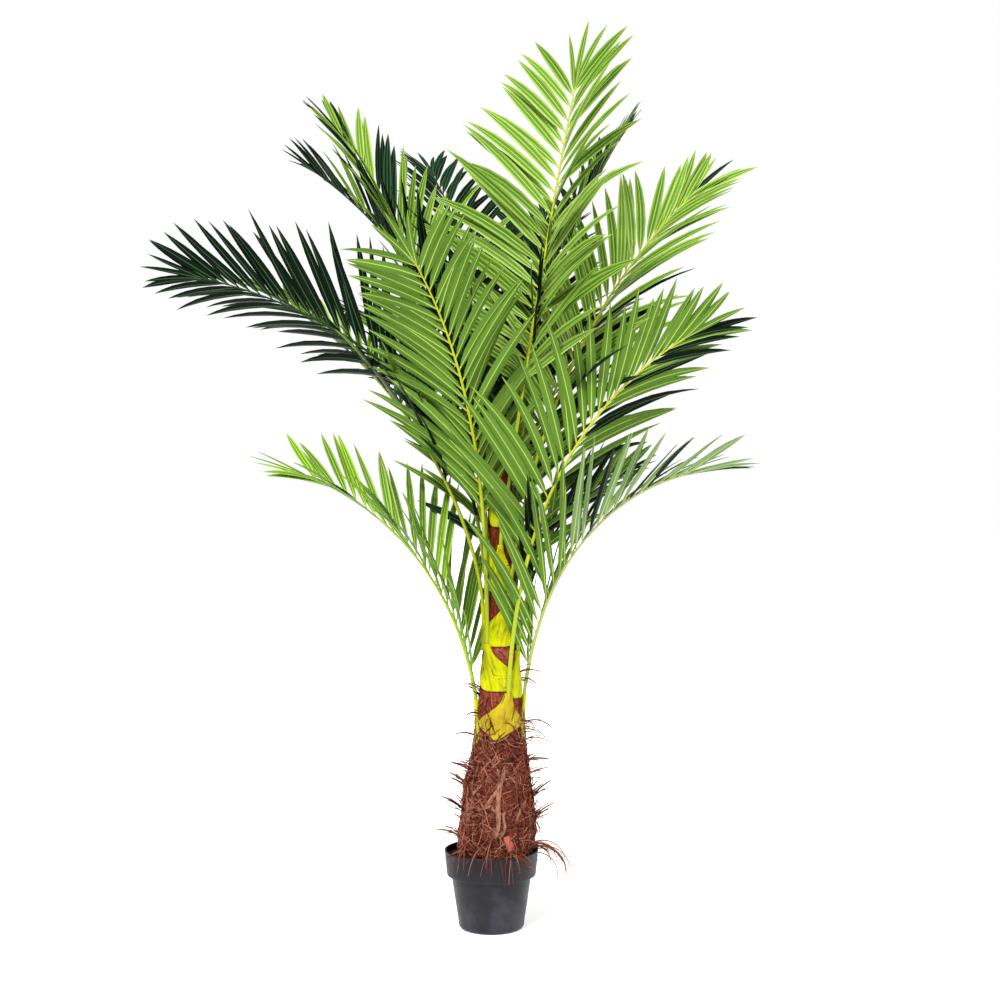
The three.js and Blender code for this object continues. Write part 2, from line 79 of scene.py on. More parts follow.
# Loose strands of coir: azimuth, height, length, lift, droop.
STRANDS = np.array([
    (10, 150, 110, 35, 125), (-25, 165, 85, 40, 100), (-60, 150, 60, 30, 70),
    (170, 170, 55, 45, 50), (200, 230, 60, 50, 30), (-150, 150, 45, 30, 60),
    (15, 205, 60, 45, 25), (5, 250, 55, 50, 20), (-20, 300, 50, 40, 30), (185, 280, 45, 45, 20),
    (25, 325, 60, 15, 30), (205, 315, 50, 30, 20), (90, 160, 60, 30, 70), (130, 200, 55, 40, 40),
    (60, 230, 60, 45, 40), (45, 300, 50, 50, 30), (110, 320, 45, 55, 30), (150, 260, 50, 45, 30),
    (-90, 300, 45, 50, 30), (-120, 230, 45, 45, 40),
], dtype=float)

# Fronds. heading: azimuth in which the frond leans out. stem: azimuth at which its rachis leaves
# the trunk. seat: azimuth of its sheath's lower tip. height: where sheath turns into rachis. lift:
# the rachis's elevation at its foot. droop and power: how much of that it has lost along its
# length. twist: how far the blade is rolled. bare: share of the rachis without leaflets. leaf:
# length of its longest leaflets. open and closing: the angle between leaflet and rachis at the
# blade's foot, and how much it has narrowed at the tip. clasp: width of its sheath, over the
# widest. odd: the finish of some stray leaflets, with their share on the right and on the left.
# tint and odd: the dark finish is painted shade, on whole fronds at the back of the crown and on stray
# leaflets that lie behind or turn away from the light.
FROND_COLUMNS = (
    "heading", "stem", "seat", "height", "length", "lift", "droop", "power", "twist", "bare",
    "leaf", "open", "closing", "clasp", "tint", "odd", "odd_right", "odd_left",
)
FROND_ROWS = [
    (12, -92, -103, 757, 915, 82, 3, 1.0, -38, 0.34, 320, 61, 22, 1.0, "fresh", "dark", 0, 0),
    (-128, -135, -97, 563, 770, 90, 44, 1.6, -40, 0.32, 270, 40, -5, 1.1, "fresh", "dark", 0.03, 0.03),
    (182, -158, -150, 790, 790, 88, 76, 0.6, -44, 0.34, 270, 47, 30, 0.6, "dark", "fresh", 0.02, 0.04),
    (155, 172, 190, 640, 820, 82, 54, 0.8, 0, 0.3, 260, 44, 20, 0.55, "fresh", "dark", 0.15, 0.2),
    (165, -127, -105, 884, 740, 82, 46, 1.0, -20, 0.32, 220, 46, 26, 0.6, "dark", "lime", 0.05, 0.05),
    (165, 160, 150, 775, 870, 76, 25, 2.6, 20, 0.4, 270, 34, 22, 0.55, "fresh", "dark", 0.35, 0.25),
    (118, 118, 112, 840, 780, 86, 44, 1.4, 0, 0.26, 235, 50, 28, 0.55, "dark", "fresh", 0.1, 0.1),
    (38, 20, 15, 820, 820, 84, 30, 1.2, 20, 0.32, 240, 52, 32, 0.55, "dark", "fresh", 0.2, 0.2),
    (12, -66, -100, 650, 900, 82, 38, 1.2, -45, 0.38, 290, 50, 40, 1.1, "fresh", "dark", 0.12, 0.03),
    (-21, -70, -98, 468, 800, 86, 58, 1.4, 45, 0.32, 285, 50, 38, 1.05, "fresh", "dark", 0.02, 0.35),
    (-12, 0, 8, 460, 580, 81, 69, 1.4, 10, 0.08, 310, 41, 6, 0.6, "pale", "dark", 0.3, 0.3),
    (185, 185, 178, 450, 565, 80, 58, 1.15, 18, 0.08, 300, 40, -6, 0.6, "lime", "fresh", 0.75, 0.05),
    (75, 72, 70, 745, 820, 84, 46, 1.3, 0, 0.28, 260, 52, 32, 0.55, "dark", "fresh", 0.2, 0.2),
    (18, -33, -40, 549, 430, 84, 62, 1.3, 30, 0.26, 190, 44, 20, 0.55, "dark", "fresh", 0.4, 0.4),
    (132, 128, 130, 600, 780, 84, 60, 1.3, 0, 0.3, 260, 52, 32, 0.55, "dark", "fresh", 0.2, 0.2),
    (60, 46, 48, 600, 770, 84, 58, 1.3, 0, 0.3, 260, 52, 32, 0.55, "fresh", "dark", 0.2, 0.2),
    (95, 90, 90, 520, 740, 84, 70, 1.3, 0, 0.3, 250, 52, 32, 0.55, "fresh", "dark", 0.2, 0.2),
]
FRONDS = [dict(zip(FROND_COLUMNS, row)) for row in FROND_ROWS]
# The width of each frond's leaflets, over the widest. Slim ones stand closer, by the root of it.
SLIM = (
    1, 0.95, 0.8, 0.78, 0.75, 0.85, 0.72, 0.78, 0.92, 0.92, 0.7, 0.82, 0.85, 0.85, 0.85, 0.85, 0.85,
)

SHEATH = {
    "height": 92, "thickness": 3, "thickening": 1.5, "edge": 0.6, "standoff": 0.6, "ridge": 5.5,
    "ridge_width": 6.5, "flare": 1.2,
}
# Half the sheath's width in degrees, from its lower tip to the rachis.
SHEATH_WIDTH = np.array([
    (0, 26), (0.04, 44), (0.1, 54), (0.25, 60), (0.42, 52), (0.6, 34), (0.8, 16), (1, 9),
])

# The same for the lowest sheath in front, whose lower end is drawn out to a point.
POINTED_WIDTH = np.array([
    (0, 4), (0.12, 20), (0.24, 46), (0.34, 60), (0.46, 52), (0.6, 34), (0.8, 16), (1, 9),
])
POINTED = 10

RACHIS = {
    "base": 5.8, "tip": 1.6, "taper": 1.1, "depth": 0.75, "set_in": 26, "steps": 44, "rings": 54,
}
# The foot of the rachis runs out to a point on the sheath: its first widths, over the full one.
RACHIS_FOOT = np.array([0.35, 0.75, 0.95])

LEAFLET = {
    "closing_power": 1.5, "raise": 30, "flattening": 0.6, "shortening": 0.52,
    "shortening_power": 1.6, "first": 0.72, "first_reach": 0.12, "narrowing": 0.15,
    "outward": 0.12, "sag": 0.00036, "sag_power": 2.5, "end_length": 0.45,
    "end_widths": (0.66, 0.6, 0.6),
}

# ---- sizes of the finer pieces

# The trunk's rings: faces round it, the height up to which they stand close for the lumps of
# coir, and their distance below and above that.
TRUNK_RINGS = {"sides": 144, "close_to": 400, "close": 2.0, "wide": 4.0}

# A leaflet's outline: the place along it, and its half width there, over the widest.
LEAF_OUTLINE = np.array([
    (0.015, 0.14), (0.05, 0.2), (0.1, 0.5), (0.2, 0.84), (0.36, 1), (0.54, 0.98), (0.72, 0.8),
    (0.87, 0.46), (0.965, 0.13),
])
# Its section: where the deeper green ends, over the half width, and how far that line stands
# proud; the midrib's widest share of the half width, its half width at the tip and what it
# gains to the root, and how far it stands proud; and the keel's depth in the same way.
BLADE = {
    "inner": 0.6, "inner_rise": 0.25, "rib_share": 0.45, "rib": 0.45, "rib_growth": 0.6,
    "rib_rise": 0.5, "keel": 0.4, "keel_growth": 0.5,
}
# How far leaflets stray, as standard deviations, in degrees or over their length or sag.
STRAY = {
    "open": 3.2, "lift": 6.5, "length": 0.035, "sag": 0.35, "bend": 0.035, "aside": 0.018,
    "roll": 9, "twist": 16,
}

# Thin curls of fibre at the foot of the crown, as the strands: azimuth, height, length, lift
# at the root and droop to the tip.
CURLS = np.array([
    (-22, 500, 58, 45, 75), (-6, 492, 40, 20, 70), (0, 400, 68, 42, 90), (-14, 392, 50, 20, 60),
    (-30, 408, 40, 40, 95), (196, 462, 44, 60, 60), (186, 446, 40, 80, 60), (206, 420, 38, 50, 90),
    (8, 366, 58, 35, 70), (176, 374, 46, 40, 60), (90, 480, 46, 45, 80), (60, 398, 50, 40, 80),
    (130, 420, 46, 45, 70),
])

# Fibres that lie on the wrap: the heights between which they start, their lengths, how far they
# bulge, the share that lifts off, radius over the usual, and the share of each shade.
LAID = {
    "coir_mat_fibres": ((134, 382), (35, 110), (1, 6), 0.07, 1, (0.2, 0.3, 0.28, 0.14, 0.08)),
    # Crown fibres lean to the darkest shades: painted shade between the sheaths.
    "coir_crown_fibres": ((380, 940), (18, 48), (0.2, 1.0), 0.05, 0.7, (0.6, 0.32, 0.08, 0, 0)),
}
# How they lie: the share that runs down, how far they steer from upright, the spread of their
# curl, the widest wave, and how high the ends of loose ones stand.
LAY = {"down": 0.65, "steer": 75, "curl": 60, "wave": 30, "loose": (8, 30)}
# Strands and curls: their table, the thinner ones beside each, radius over the usual, shades.
STRAYS = {
    "coir_strands": (STRANDS, 7, 1, (0.12, 0.28, 0.3, 0.12, 0.18)),
    "coir_curls": (CURLS, 4, 0.72, (0.3, 0.34, 0.16, 0.04, 0.16)),
}
# How the thinner ones differ in azimuth, height, lift and length, the radii of both, and how
# deep all of them are set in.
COPY = {
    "azimuth": 12, "height": 8, "lift": 14, "length": (0.55, 0.98), "radius": (0.9, 1.7),
    "full_radius": (2.2, 3.2), "set_in": 6,
}
# Fibres over the pot's rim: the azimuths of their tufts, how many, radius over the usual,
# shades, the heights at which they start, rise and fall from there, and their distance from
# the trunk's middle at the root and what it gains to the tip.
OVERHANG = {
    "tufts": [-104, -96, -92, -72, -62, -134], "count": 26, "thick": 0.85,
    "shades": (0.2, 0.26, 0.16, 0.08, 0.3), "start": (160, 182), "rise": 26, "fall": (30, 66),
    "distance": 62, "reach": (36, 44),
}

# Flat straps of old leaf fibre on the coir: azimuth and height of either end, width, lift.
STRAPS = np.array([
    (-70, 340, -112, 246, 8, 7.0), (-84, 306, -92, 186, 10, 8.0), (-92, 258, -152, 224, 6, 7.0),
    (-104, 256, -76, 232, 6, 7.5), (-77, 248, -84, 190, 6, 8.0), (-118, 306, -140, 250, 6, 6.0),
    (-60, 215, -35, 262, 8, 6.5), (100, 300, 70, 230, 10, 6.5), (20, 290, -8, 226, 9, 6.5),
    (160, 320, 186, 240, 10, 6.5), (225, 210, 200, 290, 9, 6.5), (60, 190, 95, 172, 8, 6.5),
])
# The cut end of an old leaf stalk that shows in the coir.
STUB = {
    "azimuth": -71.5, "height": 195, "width": 17, "length": 29, "thickness": 6, "lean": 9,
    "proud": 5.5,
}

# ---- colours, in sRGB

# For each finish of leaf: its deeper green beside the midrib in two shades, its margin in two
# shades, drawn paler as a painted sheen along the edges, midrib, underside, the bare stalk, and
# the rachis above it.
LEAF_FINISHES = {
    "fresh": "#42661a #4f7322 #738e38 #869e4c #8fa64c #4c6a24 #8a9626 #9aa228".split(),
    "lime": "#527816 #5e861e #7da034 #8eae42 #98b048 #567c1a #7c9422 #8a9e28".split(),
    # The dark finish is painted shade: a near-black green, with a dark rachis, for the fronds and
    # leaflets that lie in shade.
    "dark": "#050f07 #09190d #142a18 #223e26 #304a2a #071309 #74822a #20331a".split(),
    "pale": "#5c7936 #688242 #869b60 #94a36e #9cab72 #647e4c #828e44 #8a9450".split(),
}
LEAF_PARTS = ("deep_1", "deep_2", "margin_1", "margin_2", "midrib", "under", "stalk", "rachis")
# Roughness of each finish's cloth, and its specular level.
LEAF_GLOSS = {
    "fresh": (0.5, 0.04), "lime": (0.5, 0.04), "dark": (0.38, 0.03), "pale": (0.55, 0.06),
}
PALE_INNER = 0.42  # up to where along a pale frond the leaflets are fresh green

# From dark to light, each with its place on the ramp.
SHEATH_SPRAYS = {
    "fresh": ((0.34, "#625e0e"), (0.43, "#868808"), (0.53, "#9fa202"), (0.65, "#aaa80e")),
    "ripe": ((0.34, "#6c5210"), (0.43, "#867012"), (0.53, "#958516"), (0.65, "#a08e22")),
}
# The crown's ramp is painted shade: the wrap between the sheaths, under the fronds, drawn darker than
# the mat below.
COIR_DYE_AND_SHADE = {
    "mat": ((0.36, "#2a0c06"), (0.45, "#541f13"), (0.53, "#7a3a29"), (0.62, "#98604c")),
    "crown": ((0.36, "#1a0703"), (0.45, "#40140a"), (0.53, "#602412"), (0.62, "#804028")),
}
CROWN_SHADE_HEIGHT = 590  # the height from which the wrap is painted darker, as shade under the crown
OLD_LEAF = {
    "strap": ((0.38, "#4c2716"), (0.6, "#835138")), "stub": ((0.38, "#6c2818"), (0.6, "#90422c")),
}
# The palest stop shows near the foot, where the pot is drawn paler: partly dust, partly painted sheen.
POT_SHADES = ((0.4, "#0f0e12"), (0.6, "#17161c"), (0.8, "#2b2932"))
CEMENT_SHADES = ((0.4, "#1b1613"), (0.55, "#3a312b"), (0.68, "#6a5c50"))
COIR_SHADES = ("#360f06", "#572416", "#733828", "#935d4a", "#84604c")

# ---- camera and light

CAMERA_SIDE = 0.017  # how far to the right the camera stands, in metres
# Lights: strength over the key's, spread in degrees, place and aim in metres.
LIGHTS = {
    "key": (1.0, 22, (-1.5, -3.0, 4.6), (0, 0, 1.0)),
    "fill": (0.25, 40, (3.0, -2.6, 2.4), (0, 0, 0.9)),
}


def linear(value):
    """Linear red, green, blue and alpha of an sRGB hex value.

    A channel up to 0.04045 is divided by 12.92. One above it gains 0.055, is divided by 1.055
    and is raised to the power 2.4.
    """
    channels = np.array([int(value[i:i + 2], 16) for i in (1, 3, 5)]) / 255
    low = channels / 12.92
    high = ((channels + 0.055) / 1.055) ** 2.4
    return (*np.where(channels <= 0.04045, low, high).tolist(), 1.0)


# ---- shapes as arrays


def around(azimuth):
    """Unit vectors in the ground plane: cosine and sine of azimuths in degrees, and zero."""
    angle = np.radians(np.asarray(azimuth, dtype=float))
    return np.stack([np.cos(angle), np.sin(angle), np.zeros_like(angle)], axis=-1)


def unit(vectors):
    """Vectors divided by their lengths."""
    return vectors / np.linalg.norm(vectors, axis=-1, keepdims=True)


def smoothstep(x, low, high):
    """3 t squared minus 2 t cubed, where t runs from 0 at low to 1 at high."""
    t = np.clip((x - low) / (high - low), 0, 1)
    return t * t * (3 - 2 * t)


def smooth_line(rows, x, column=1):
    """Cubic curve through rows, read from one column.

    Between two rows it is the Hermite cubic whose slopes at the rows are those of the chords
    beside them.
    """
    knots, values = rows[:, 0], rows[:, column]
    slopes = np.gradient(values, knots)
    x = np.clip(x, knots[0], knots[-1])
    i = np.clip(np.searchsorted(knots, x, side="right") - 1, 0, len(knots) - 2)
    step = knots[i + 1] - knots[i]
    t = (x - knots[i]) / step
    return (
        values[i] * (1 + 2 * t) * (1 - t) ** 2
        + values[i + 1] * t * t * (3 - 2 * t)
        + slopes[i] * step * t * (1 - t) ** 2
        - slopes[i + 1] * step * t * t * (1 - t)
    )


def trunk_radius(height):
    """Radius of the trunk at a height, on the broken line of its table."""
    return np.interp(height, TRUNK[:, 0], TRUNK[:, 1])


def trunk_middle(height):
    """Middle of the trunk at a height."""
    height = np.asarray(height, dtype=float)
    middle = np.interp(height, TRUNK[:, 0], TRUNK[:, 2])
    return np.stack([middle, np.zeros_like(height), height], axis=-1)


def beside_trunk(azimuth, height, distance):
    """Points at azimuths and heights, at a distance from the trunk's middle."""
    return trunk_middle(height) + around(azimuth) * np.asarray(distance)[..., None]


def ripples(azimuth, height, waves, seed):
    """A relief that closes round the trunk, between about -1 and 1.

    It is the mean of sines of k times the azimuth plus m times the height, with k a whole
    number up to the first of waves, and m at most the second, in radians per millimetre.
    """
    random = np.random.default_rng(seed)
    total = np.zeros(np.broadcast(azimuth, height).shape)
    count = 7
    for _ in range(count):
        turns = random.integers(1, waves[0] + 1)
        rise = random.uniform(-waves[1], waves[1])
        phase = random.uniform(0, 2 * math.pi)
        total += np.sin(turns * np.radians(azimuth) + rise * height + phase)
    return total / math.sqrt(count)


def carried_frame(path, reference):
    """Directions along, across and upright of paths, for rings carried along them.

    Along is the difference of neighbouring points. Upright is the reference without its part
    along the path, and across is upright cross along.
    """
    along = unit(np.gradient(path, axis=-2))
    upright = reference - np.sum(reference * along, axis=-1, keepdims=True) * along
    upright = unit(upright)
    across = np.cross(upright, along)
    return along, across, upright


def rings_on(path, across, upright, offsets):
    """Ring points: each path point plus its offsets times the across and upright directions.

    path has the shape tubes, stations, 3, and offsets tubes, stations, columns, 2.
    """
    return (
        path[:, :, None, :]
        + offsets[..., 0:1] * across[:, :, None, :]
        + offsets[..., 1:2] * upright[:, :, None, :]
    )


def circle(columns):
    """Cosine and sine of equal steps round a full turn."""
    angle = 2 * math.pi * np.arange(columns) / columns
    return np.stack([np.cos(angle), np.sin(angle)], axis=-1)


def turned_rings(profile, columns):
    """Rings of one tube turned about Z: each (radius, height) of the profile at equal azimuths."""
    rings = around(360 * np.arange(columns) / columns)[None] * profile[:, None, :1]
    rings[..., 2] = profile[:, 1:]
    return rings[None]


def arc(middle, radius, start, end, count):
    """Points on a circle's arc in the plane of a profile, from one angle to another."""
    angle = np.radians(np.linspace(start, end, count))
    return np.stack(
        [middle[0] + radius * np.cos(angle), middle[1] + radius * np.sin(angle)], axis=-1
    )


# ---- making pieces


def tube_piece(name, rings, roots, tips, materials, slots=0, sharp=(), uv=None):
    """Makes one mesh of closed tubes and returns its object.

    rings has the shape tubes, stations, columns, 3, in millimetres, and runs anticlockwise as
    seen from the tip. Quads join neighbouring rings, and triangles join the first ring to its
    root point and the last to its tip point. slots is one material number, or an array of them
    with the shape tubes, stations + 1, columns, whose first and last rows are the end fans.
    sharp names columns along which the edge stays sharp, and uv gives each ring point a place
    on the pattern, with the shape of rings but 2 long.
    """
    tubes, stations, columns, _ = rings.shape
    size = stations * columns + 2
    points = np.concatenate([roots[:, None], rings.reshape(tubes, -1, 3), tips[:, None]], axis=1)
    foot = size * np.arange(tubes)[:, None]
    head = foot + size - 1
    first, last = foot + 1, head - columns
    here = np.arange(columns)[None]
    after = (here + 1) % columns
    low = first[..., None] + columns * np.arange(stations - 1)[None, :, None]
    quads = np.stack(
        [low + here, low + after, low + columns + after, low + columns + here], axis=-1
    )
    root_fans = np.stack([foot + 0 * here, first + after, first + here], axis=-1)
    tip_fans = np.stack([head + 0 * here, last + here, last + after], axis=-1)
    faces = quads.reshape(-1, 4).tolist()
    faces += root_fans.reshape(-1, 3).tolist() + tip_fans.reshape(-1, 3).tolist()

    mesh = bpy.data.meshes.new(name)
    mesh.from_pydata(points.reshape(-1, 3) * 0.001, [], faces)
    slots = np.broadcast_to(slots, (tubes, stations + 1, columns))
    numbers = np.concatenate([part.ravel() for part in (slots[:, 1:-1], slots[:, 0], slots[:, -1])])
    mesh.polygons.foreach_set("material_index", numbers.astype(np.int32))
    mesh.polygons.foreach_set("use_smooth", np.ones(len(faces), dtype=bool))
    for material in materials:
        mesh.materials.append(material)
    if sharp:
        mark_sharp(mesh, stations, columns, sharp)
    if uv is not None:
        poles = np.zeros((tubes, 1, 2))
        spread = np.concatenate(
            [poles + uv[:, 0, :1], uv.reshape(tubes, -1, 2), poles + uv[:, -1, :1]], axis=1
        ).reshape(-1, 2)
        corners = np.empty(len(mesh.loops), dtype=np.int32)
        mesh.loops.foreach_get("vertex_index", corners)
        layer = mesh.uv_layers.new(name="Grain")
        layer.data.foreach_set("uv", spread[corners].ravel().astype(np.float32))
    mesh.update()
    piece = bpy.data.objects.new(name, mesh)
    bpy.context.scene.collection.objects.link(piece)
    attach(piece, "root")
    return piece


def mark_sharp(mesh, stations, columns, sharp):
    """Marks the edges that run along the given columns of every tube as sharp."""
    ends = np.empty(2 * len(mesh.edges), dtype=np.int32)
    mesh.edges.foreach_get("vertices", ends)
    ends = ends.reshape(-1, 2) % (stations * columns + 2)
    on_ring = (ends > 0) & (ends <= stations * columns)
    column = (ends - 1) % columns
    along = on_ring.all(axis=1) & (column[:, 0] == column[:, 1])
    chosen = along & np.isin(column[:, 0], sharp)
    attribute = mesh.attributes.new("sharp_edge", "BOOLEAN", "EDGE")
    attribute.data.foreach_set("value", chosen)


# ---- materials


def add_node(tree, kind, links=(), stops=(), **settings):
    """Adds a shader node to a tree.

    settings are its own properties or, by name, its inputs' values. links are pairs of an input
    and the output socket or the number that feeds it, and stops are a colour ramp's places and
    hex values.
    """
    node = tree.nodes.new(kind)
    for key, value in settings.items():
        if hasattr(node, key):
            setattr(node, key, value)
        else:
            node.inputs[key.replace("_", " ")].default_value = value
    for key, source in links:
        if isinstance(source, bpy.types.NodeSocket):
            tree.links.new(source, node.inputs[key])
        else:
            node.inputs[key].default_value = source
    if stops:
        elements = node.color_ramp.elements
        while len(elements) < len(stops):
            elements.new(0.5)
        for element, (place, value) in zip(elements, stops):
            element.position = place
            element.color = linear(value)
    return node


def new_surface(name, colour, roughness, **settings):
    """A material whose Principled shader has a colour, a roughness and further socket values."""
    material = bpy.data.materials.new(name)
    material.use_nodes = True
    material.diffuse_color = colour
    inputs = material.node_tree.nodes["Principled BSDF"].inputs
    inputs["Base Color"].default_value = colour
    inputs["Roughness"].default_value = roughness
    for key, value in settings.items():
        inputs[key.replace("_", " ")].default_value = value
    return material


def add_grain(material, layers, relief, stops=(), raised=1, kind="ShaderNodeTexNoise"):
    """Gives a surface its grain, and returns the socket of the places that the grain reads.

    layers are textures: where they are laid, their settings, and those of a Mapping that turns
    and stretches them, if any. Their mean picks the colour between the stops, and the sum of
    the first raised ones is the height of the relief, which is a strength and a distance.
    """
    tree = material.node_tree
    shader = tree.nodes["Principled BSDF"]
    sums = []
    for laid, settings, *mapping in layers:
        if laid == "Object":
            place = add_node(tree, "ShaderNodeTexCoord").outputs[laid]
        else:
            place = add_node(tree, "ShaderNodeUVMap", uv_map=laid).outputs["UV"]
        vector = place
        for stretch in mapping:
            stretched = add_node(tree, "ShaderNodeMapping", [("Vector", place)], **stretch)
            vector = stretched.outputs["Vector"]
        value = add_node(tree, kind, [("Vector", vector)], **settings).outputs["Fac"]
        if sums:
            added = add_node(tree, "ShaderNodeMath", [(0, sums[-1]), (1, value)], operation="ADD")
            value = added.outputs[0]
        sums.append(value)
    if stops:
        links = [(0, sums[-1]), (1, 1 / len(sums))]
        mean = add_node(tree, "ShaderNodeMath", links, operation="MULTIPLY")
        colours = add_node(tree, "ShaderNodeValToRGB", [("Fac", mean.outputs[0])], stops)
        tree.links.new(colours.outputs["Color"], shader.inputs["Base Color"])
    strength, distance = relief
    bump = add_node(
        tree, "ShaderNodeBump", [("Height", sums[raised - 1])], Strength=strength, Distance=distance
    )
    tree.links.new(bump.outputs["Normal"], shader.inputs["Normal"])
    return place


def leaf_surfaces(finish):
    """The eight surfaces of one finish of leaf: two deeper shades, two margins, midrib,
    underside, stalk and rachis.

    Leaflets are woven polyester, dyed and pressed, with a soft satin gloss. Its weave is too
    fine to show, so the relief is the pressed veins, drawn 2.4 mm apart, which give each half
    of a leaflet fine lines along its length. The midrib and rachis are moulded polyethylene,
    smoother and waxy, with streaks about 6 mm long.
    """
    gloss, shine = LEAF_GLOSS[finish]
    veins = ("Grain", dict(
        wave_type="BANDS", bands_direction="X", wave_profile="SIN", Scale=0.5 / 0.0024 / 3.2,
        Distortion=0.4, Detail=1.0, Detail_Scale=0.3,
    ))
    streaks = ("Object", dict(Scale=160.0, Detail=2.0))
    surfaces = []
    for name, value in zip(LEAF_PARTS, LEAF_FINISHES[finish]):
        cloth = name not in ("midrib", "stalk", "rachis")
        material = new_surface(
            f"{'polyester_leaf' if cloth else 'moulded_rib'}_{finish}_{name}", linear(value),
            gloss if cloth else 0.4, IOR=1.5, Specular_IOR_Level=shine,
        )
        if cloth:
            add_grain(material, [veins], (0.35, 0.0004), kind="ShaderNodeTexWave")
        else:
            add_grain(material, [streaks], (0.2, 0.0006))
        surfaces.append(material)
    return surfaces


def sheath_surface(spray):
    """Moulded polyethylene, sprayed from yellow to green, or ochre on the lowest sheath.

    The spray gives soft lengthwise streaks about 4 mm wide and greener blotches of some 35 mm,
    and the moulding stands out a little along the streaks.
    """
    stops = SHEATH_SPRAYS[spray]
    material = new_surface(
        f"moulded_sheath_{spray}", linear(stops[2][1]), 0.45, IOR=1.5, Specular_IOR_Level=0.05
    )
    streaks = ("Grain", dict(Scale=220.0, Detail=4.0, Roughness=0.6), dict(Scale=(1, 0.12, 1)))
    blotches = ("Grain", dict(Scale=28.0, Detail=2.0))
    add_grain(material, [streaks, blotches], (0.5, 0.0012), stops)
    return material


def coir_mat_surface(dye):
    """Coir, the fibre of coconut husk, pressed into a mat with latex, dull and rough all over.

    Its fibres are 0.3 mm thick, too fine to show, and are drawn 1.6 mm wide and 20 mm long,
    with others that cross them. Between the sheaths the wrap is drawn darker than below, as
    painted shade under the crown.
    """
    stops = COIR_DYE_AND_SHADE[dye]
    material = new_surface(
        f"coir_{dye}", linear(stops[1][1]), 0.92, IOR=1.45, Specular_IOR_Level=0.1
    )
    fibres = (
        "Object", dict(Scale=1 / 0.0032, Detail=5.0, Roughness=0.7, Distortion=1.6),
        dict(Rotation=(0.15, 0.1, 0), Scale=(1, 1, 0.1)),
    )
    strays = (
        "Object", dict(Scale=1 / 0.004, Detail=4.0, Roughness=0.65, Distortion=1.0),
        dict(Rotation=(0.7, 0.6, 0), Scale=(1, 1, 0.12)),
    )
    blotches = ("Object", dict(Scale=26.0, Detail=3.0))
    add_grain(material, [fibres, strays, blotches], (0.9, 0.002), stops, raised=2)
    return material


def coir_fibre_surfaces():
    """Single coir fibres, dull and slightly hairy: one plain surface for each shade."""
    return [
        new_surface(f"coir_fibre_{number}", linear(value), 0.8, IOR=1.45, Specular_IOR_Level=0.15)
        for number, value in enumerate(COIR_SHADES, start=1)
    ]


def old_leaf_surface(part):
    """Old palm leaf fibre, flat and dry: tan on the straps and orange brown on the stub, with a
    grain 1.5 mm wide along its length."""
    stops = OLD_LEAF[part]
    material = new_surface(f"dry_leaf_{part}", linear(stops[1][1]), 0.7, IOR=1.45)
    grain = ("Object", dict(Scale=1 / 0.003, Detail=3.0), dict(Scale=(1, 1, 0.15)))
    add_grain(material, [grain], (0.5, 0.0008), stops)
    return material


def pot_surface():
    """Polypropylene, injection moulded from recycled black granulate.

    It is slate black with a low satin gloss that varies in soft patches of some 50 mm, a matt
    grain of about 1 mm from the mould, and a paler tone up to 120 mm over the foot, partly
    grey dust and partly a painted sheen.
    """
    material = new_surface(
        "moulded_polypropylene", linear("#16151b"), 0.45, IOR=1.49, Specular_IOR_Level=0.18
    )
    place = add_grain(material, [("Object", dict(Scale=1 / 0.002, Detail=2.0))], (0.25, 0.0005))
    tree = material.node_tree
    patches = add_node(
        tree, "ShaderNodeTexNoise", [("Vector", place)], Scale=18.0, Detail=4.0, Roughness=0.6
    )
    parts = add_node(tree, "ShaderNodeSeparateXYZ", [("Vector", place)])
    # Paler towards the foot, up to 120 mm: partly grey dust, partly a painted sheen.
    low_down = add_node(
        tree, "ShaderNodeMapRange", [("Value", parts.outputs["Z"])],
        From_Min=0.0, From_Max=0.12, To_Min=0.2, To_Max=0.0,
    )
    dust_and_sheen = add_node(
        tree, "ShaderNodeMath",
        [(0, patches.outputs["Fac"]), (1, low_down.outputs["Result"])], operation="ADD",
    )
    colours = add_node(tree, "ShaderNodeValToRGB", [("Fac", dust_and_sheen.outputs[0])], POT_SHADES)
    gloss = add_node(
        tree, "ShaderNodeMapRange", [("Value", patches.outputs["Fac"])],
        From_Min=0.3, From_Max=0.7, To_Min=0.36, To_Max=0.54,
    )
    inputs = tree.nodes["Principled BSDF"].inputs
    tree.links.new(colours.outputs["Color"], inputs["Base Color"])
    tree.links.new(gloss.outputs["Result"], inputs["Roughness"])
    return material


def cement_surface():
    """Cast cement, stained dark, with a sandy grain of about 2 mm and a few paler grits."""
    material = new_surface("cast_cement", linear("#2f2824"), 0.95, IOR=1.5)
    grain = ("Object", dict(Scale=1 / 0.004, Detail=5.0, Roughness=0.7))
    add_grain(material, [grain], (0.8, 0.002), CEMENT_SHADES)
    return material


# ---- the add-on's settings


class PotSettings(bpy.types.PropertyGroup):
    """Sizes of the pot that the solid model leaves open."""

    lip: bpy.props.FloatProperty(
        name="Lip", description="Radius of the rolled edge of the rim", default=0.0019,
        min=0.001, max=0.004, unit="LENGTH", precision=4,
    )
    sides: bpy.props.IntProperty(
        name="Sides", description="Faces round the pot", default=128, min=24, max=256,
    )
    recess: bpy.props.FloatProperty(
        name="Recess", description="How far the underside is hollowed inside its foot ring",
        default=0.002, min=0.0, max=0.004, unit="LENGTH", precision=4,
    )


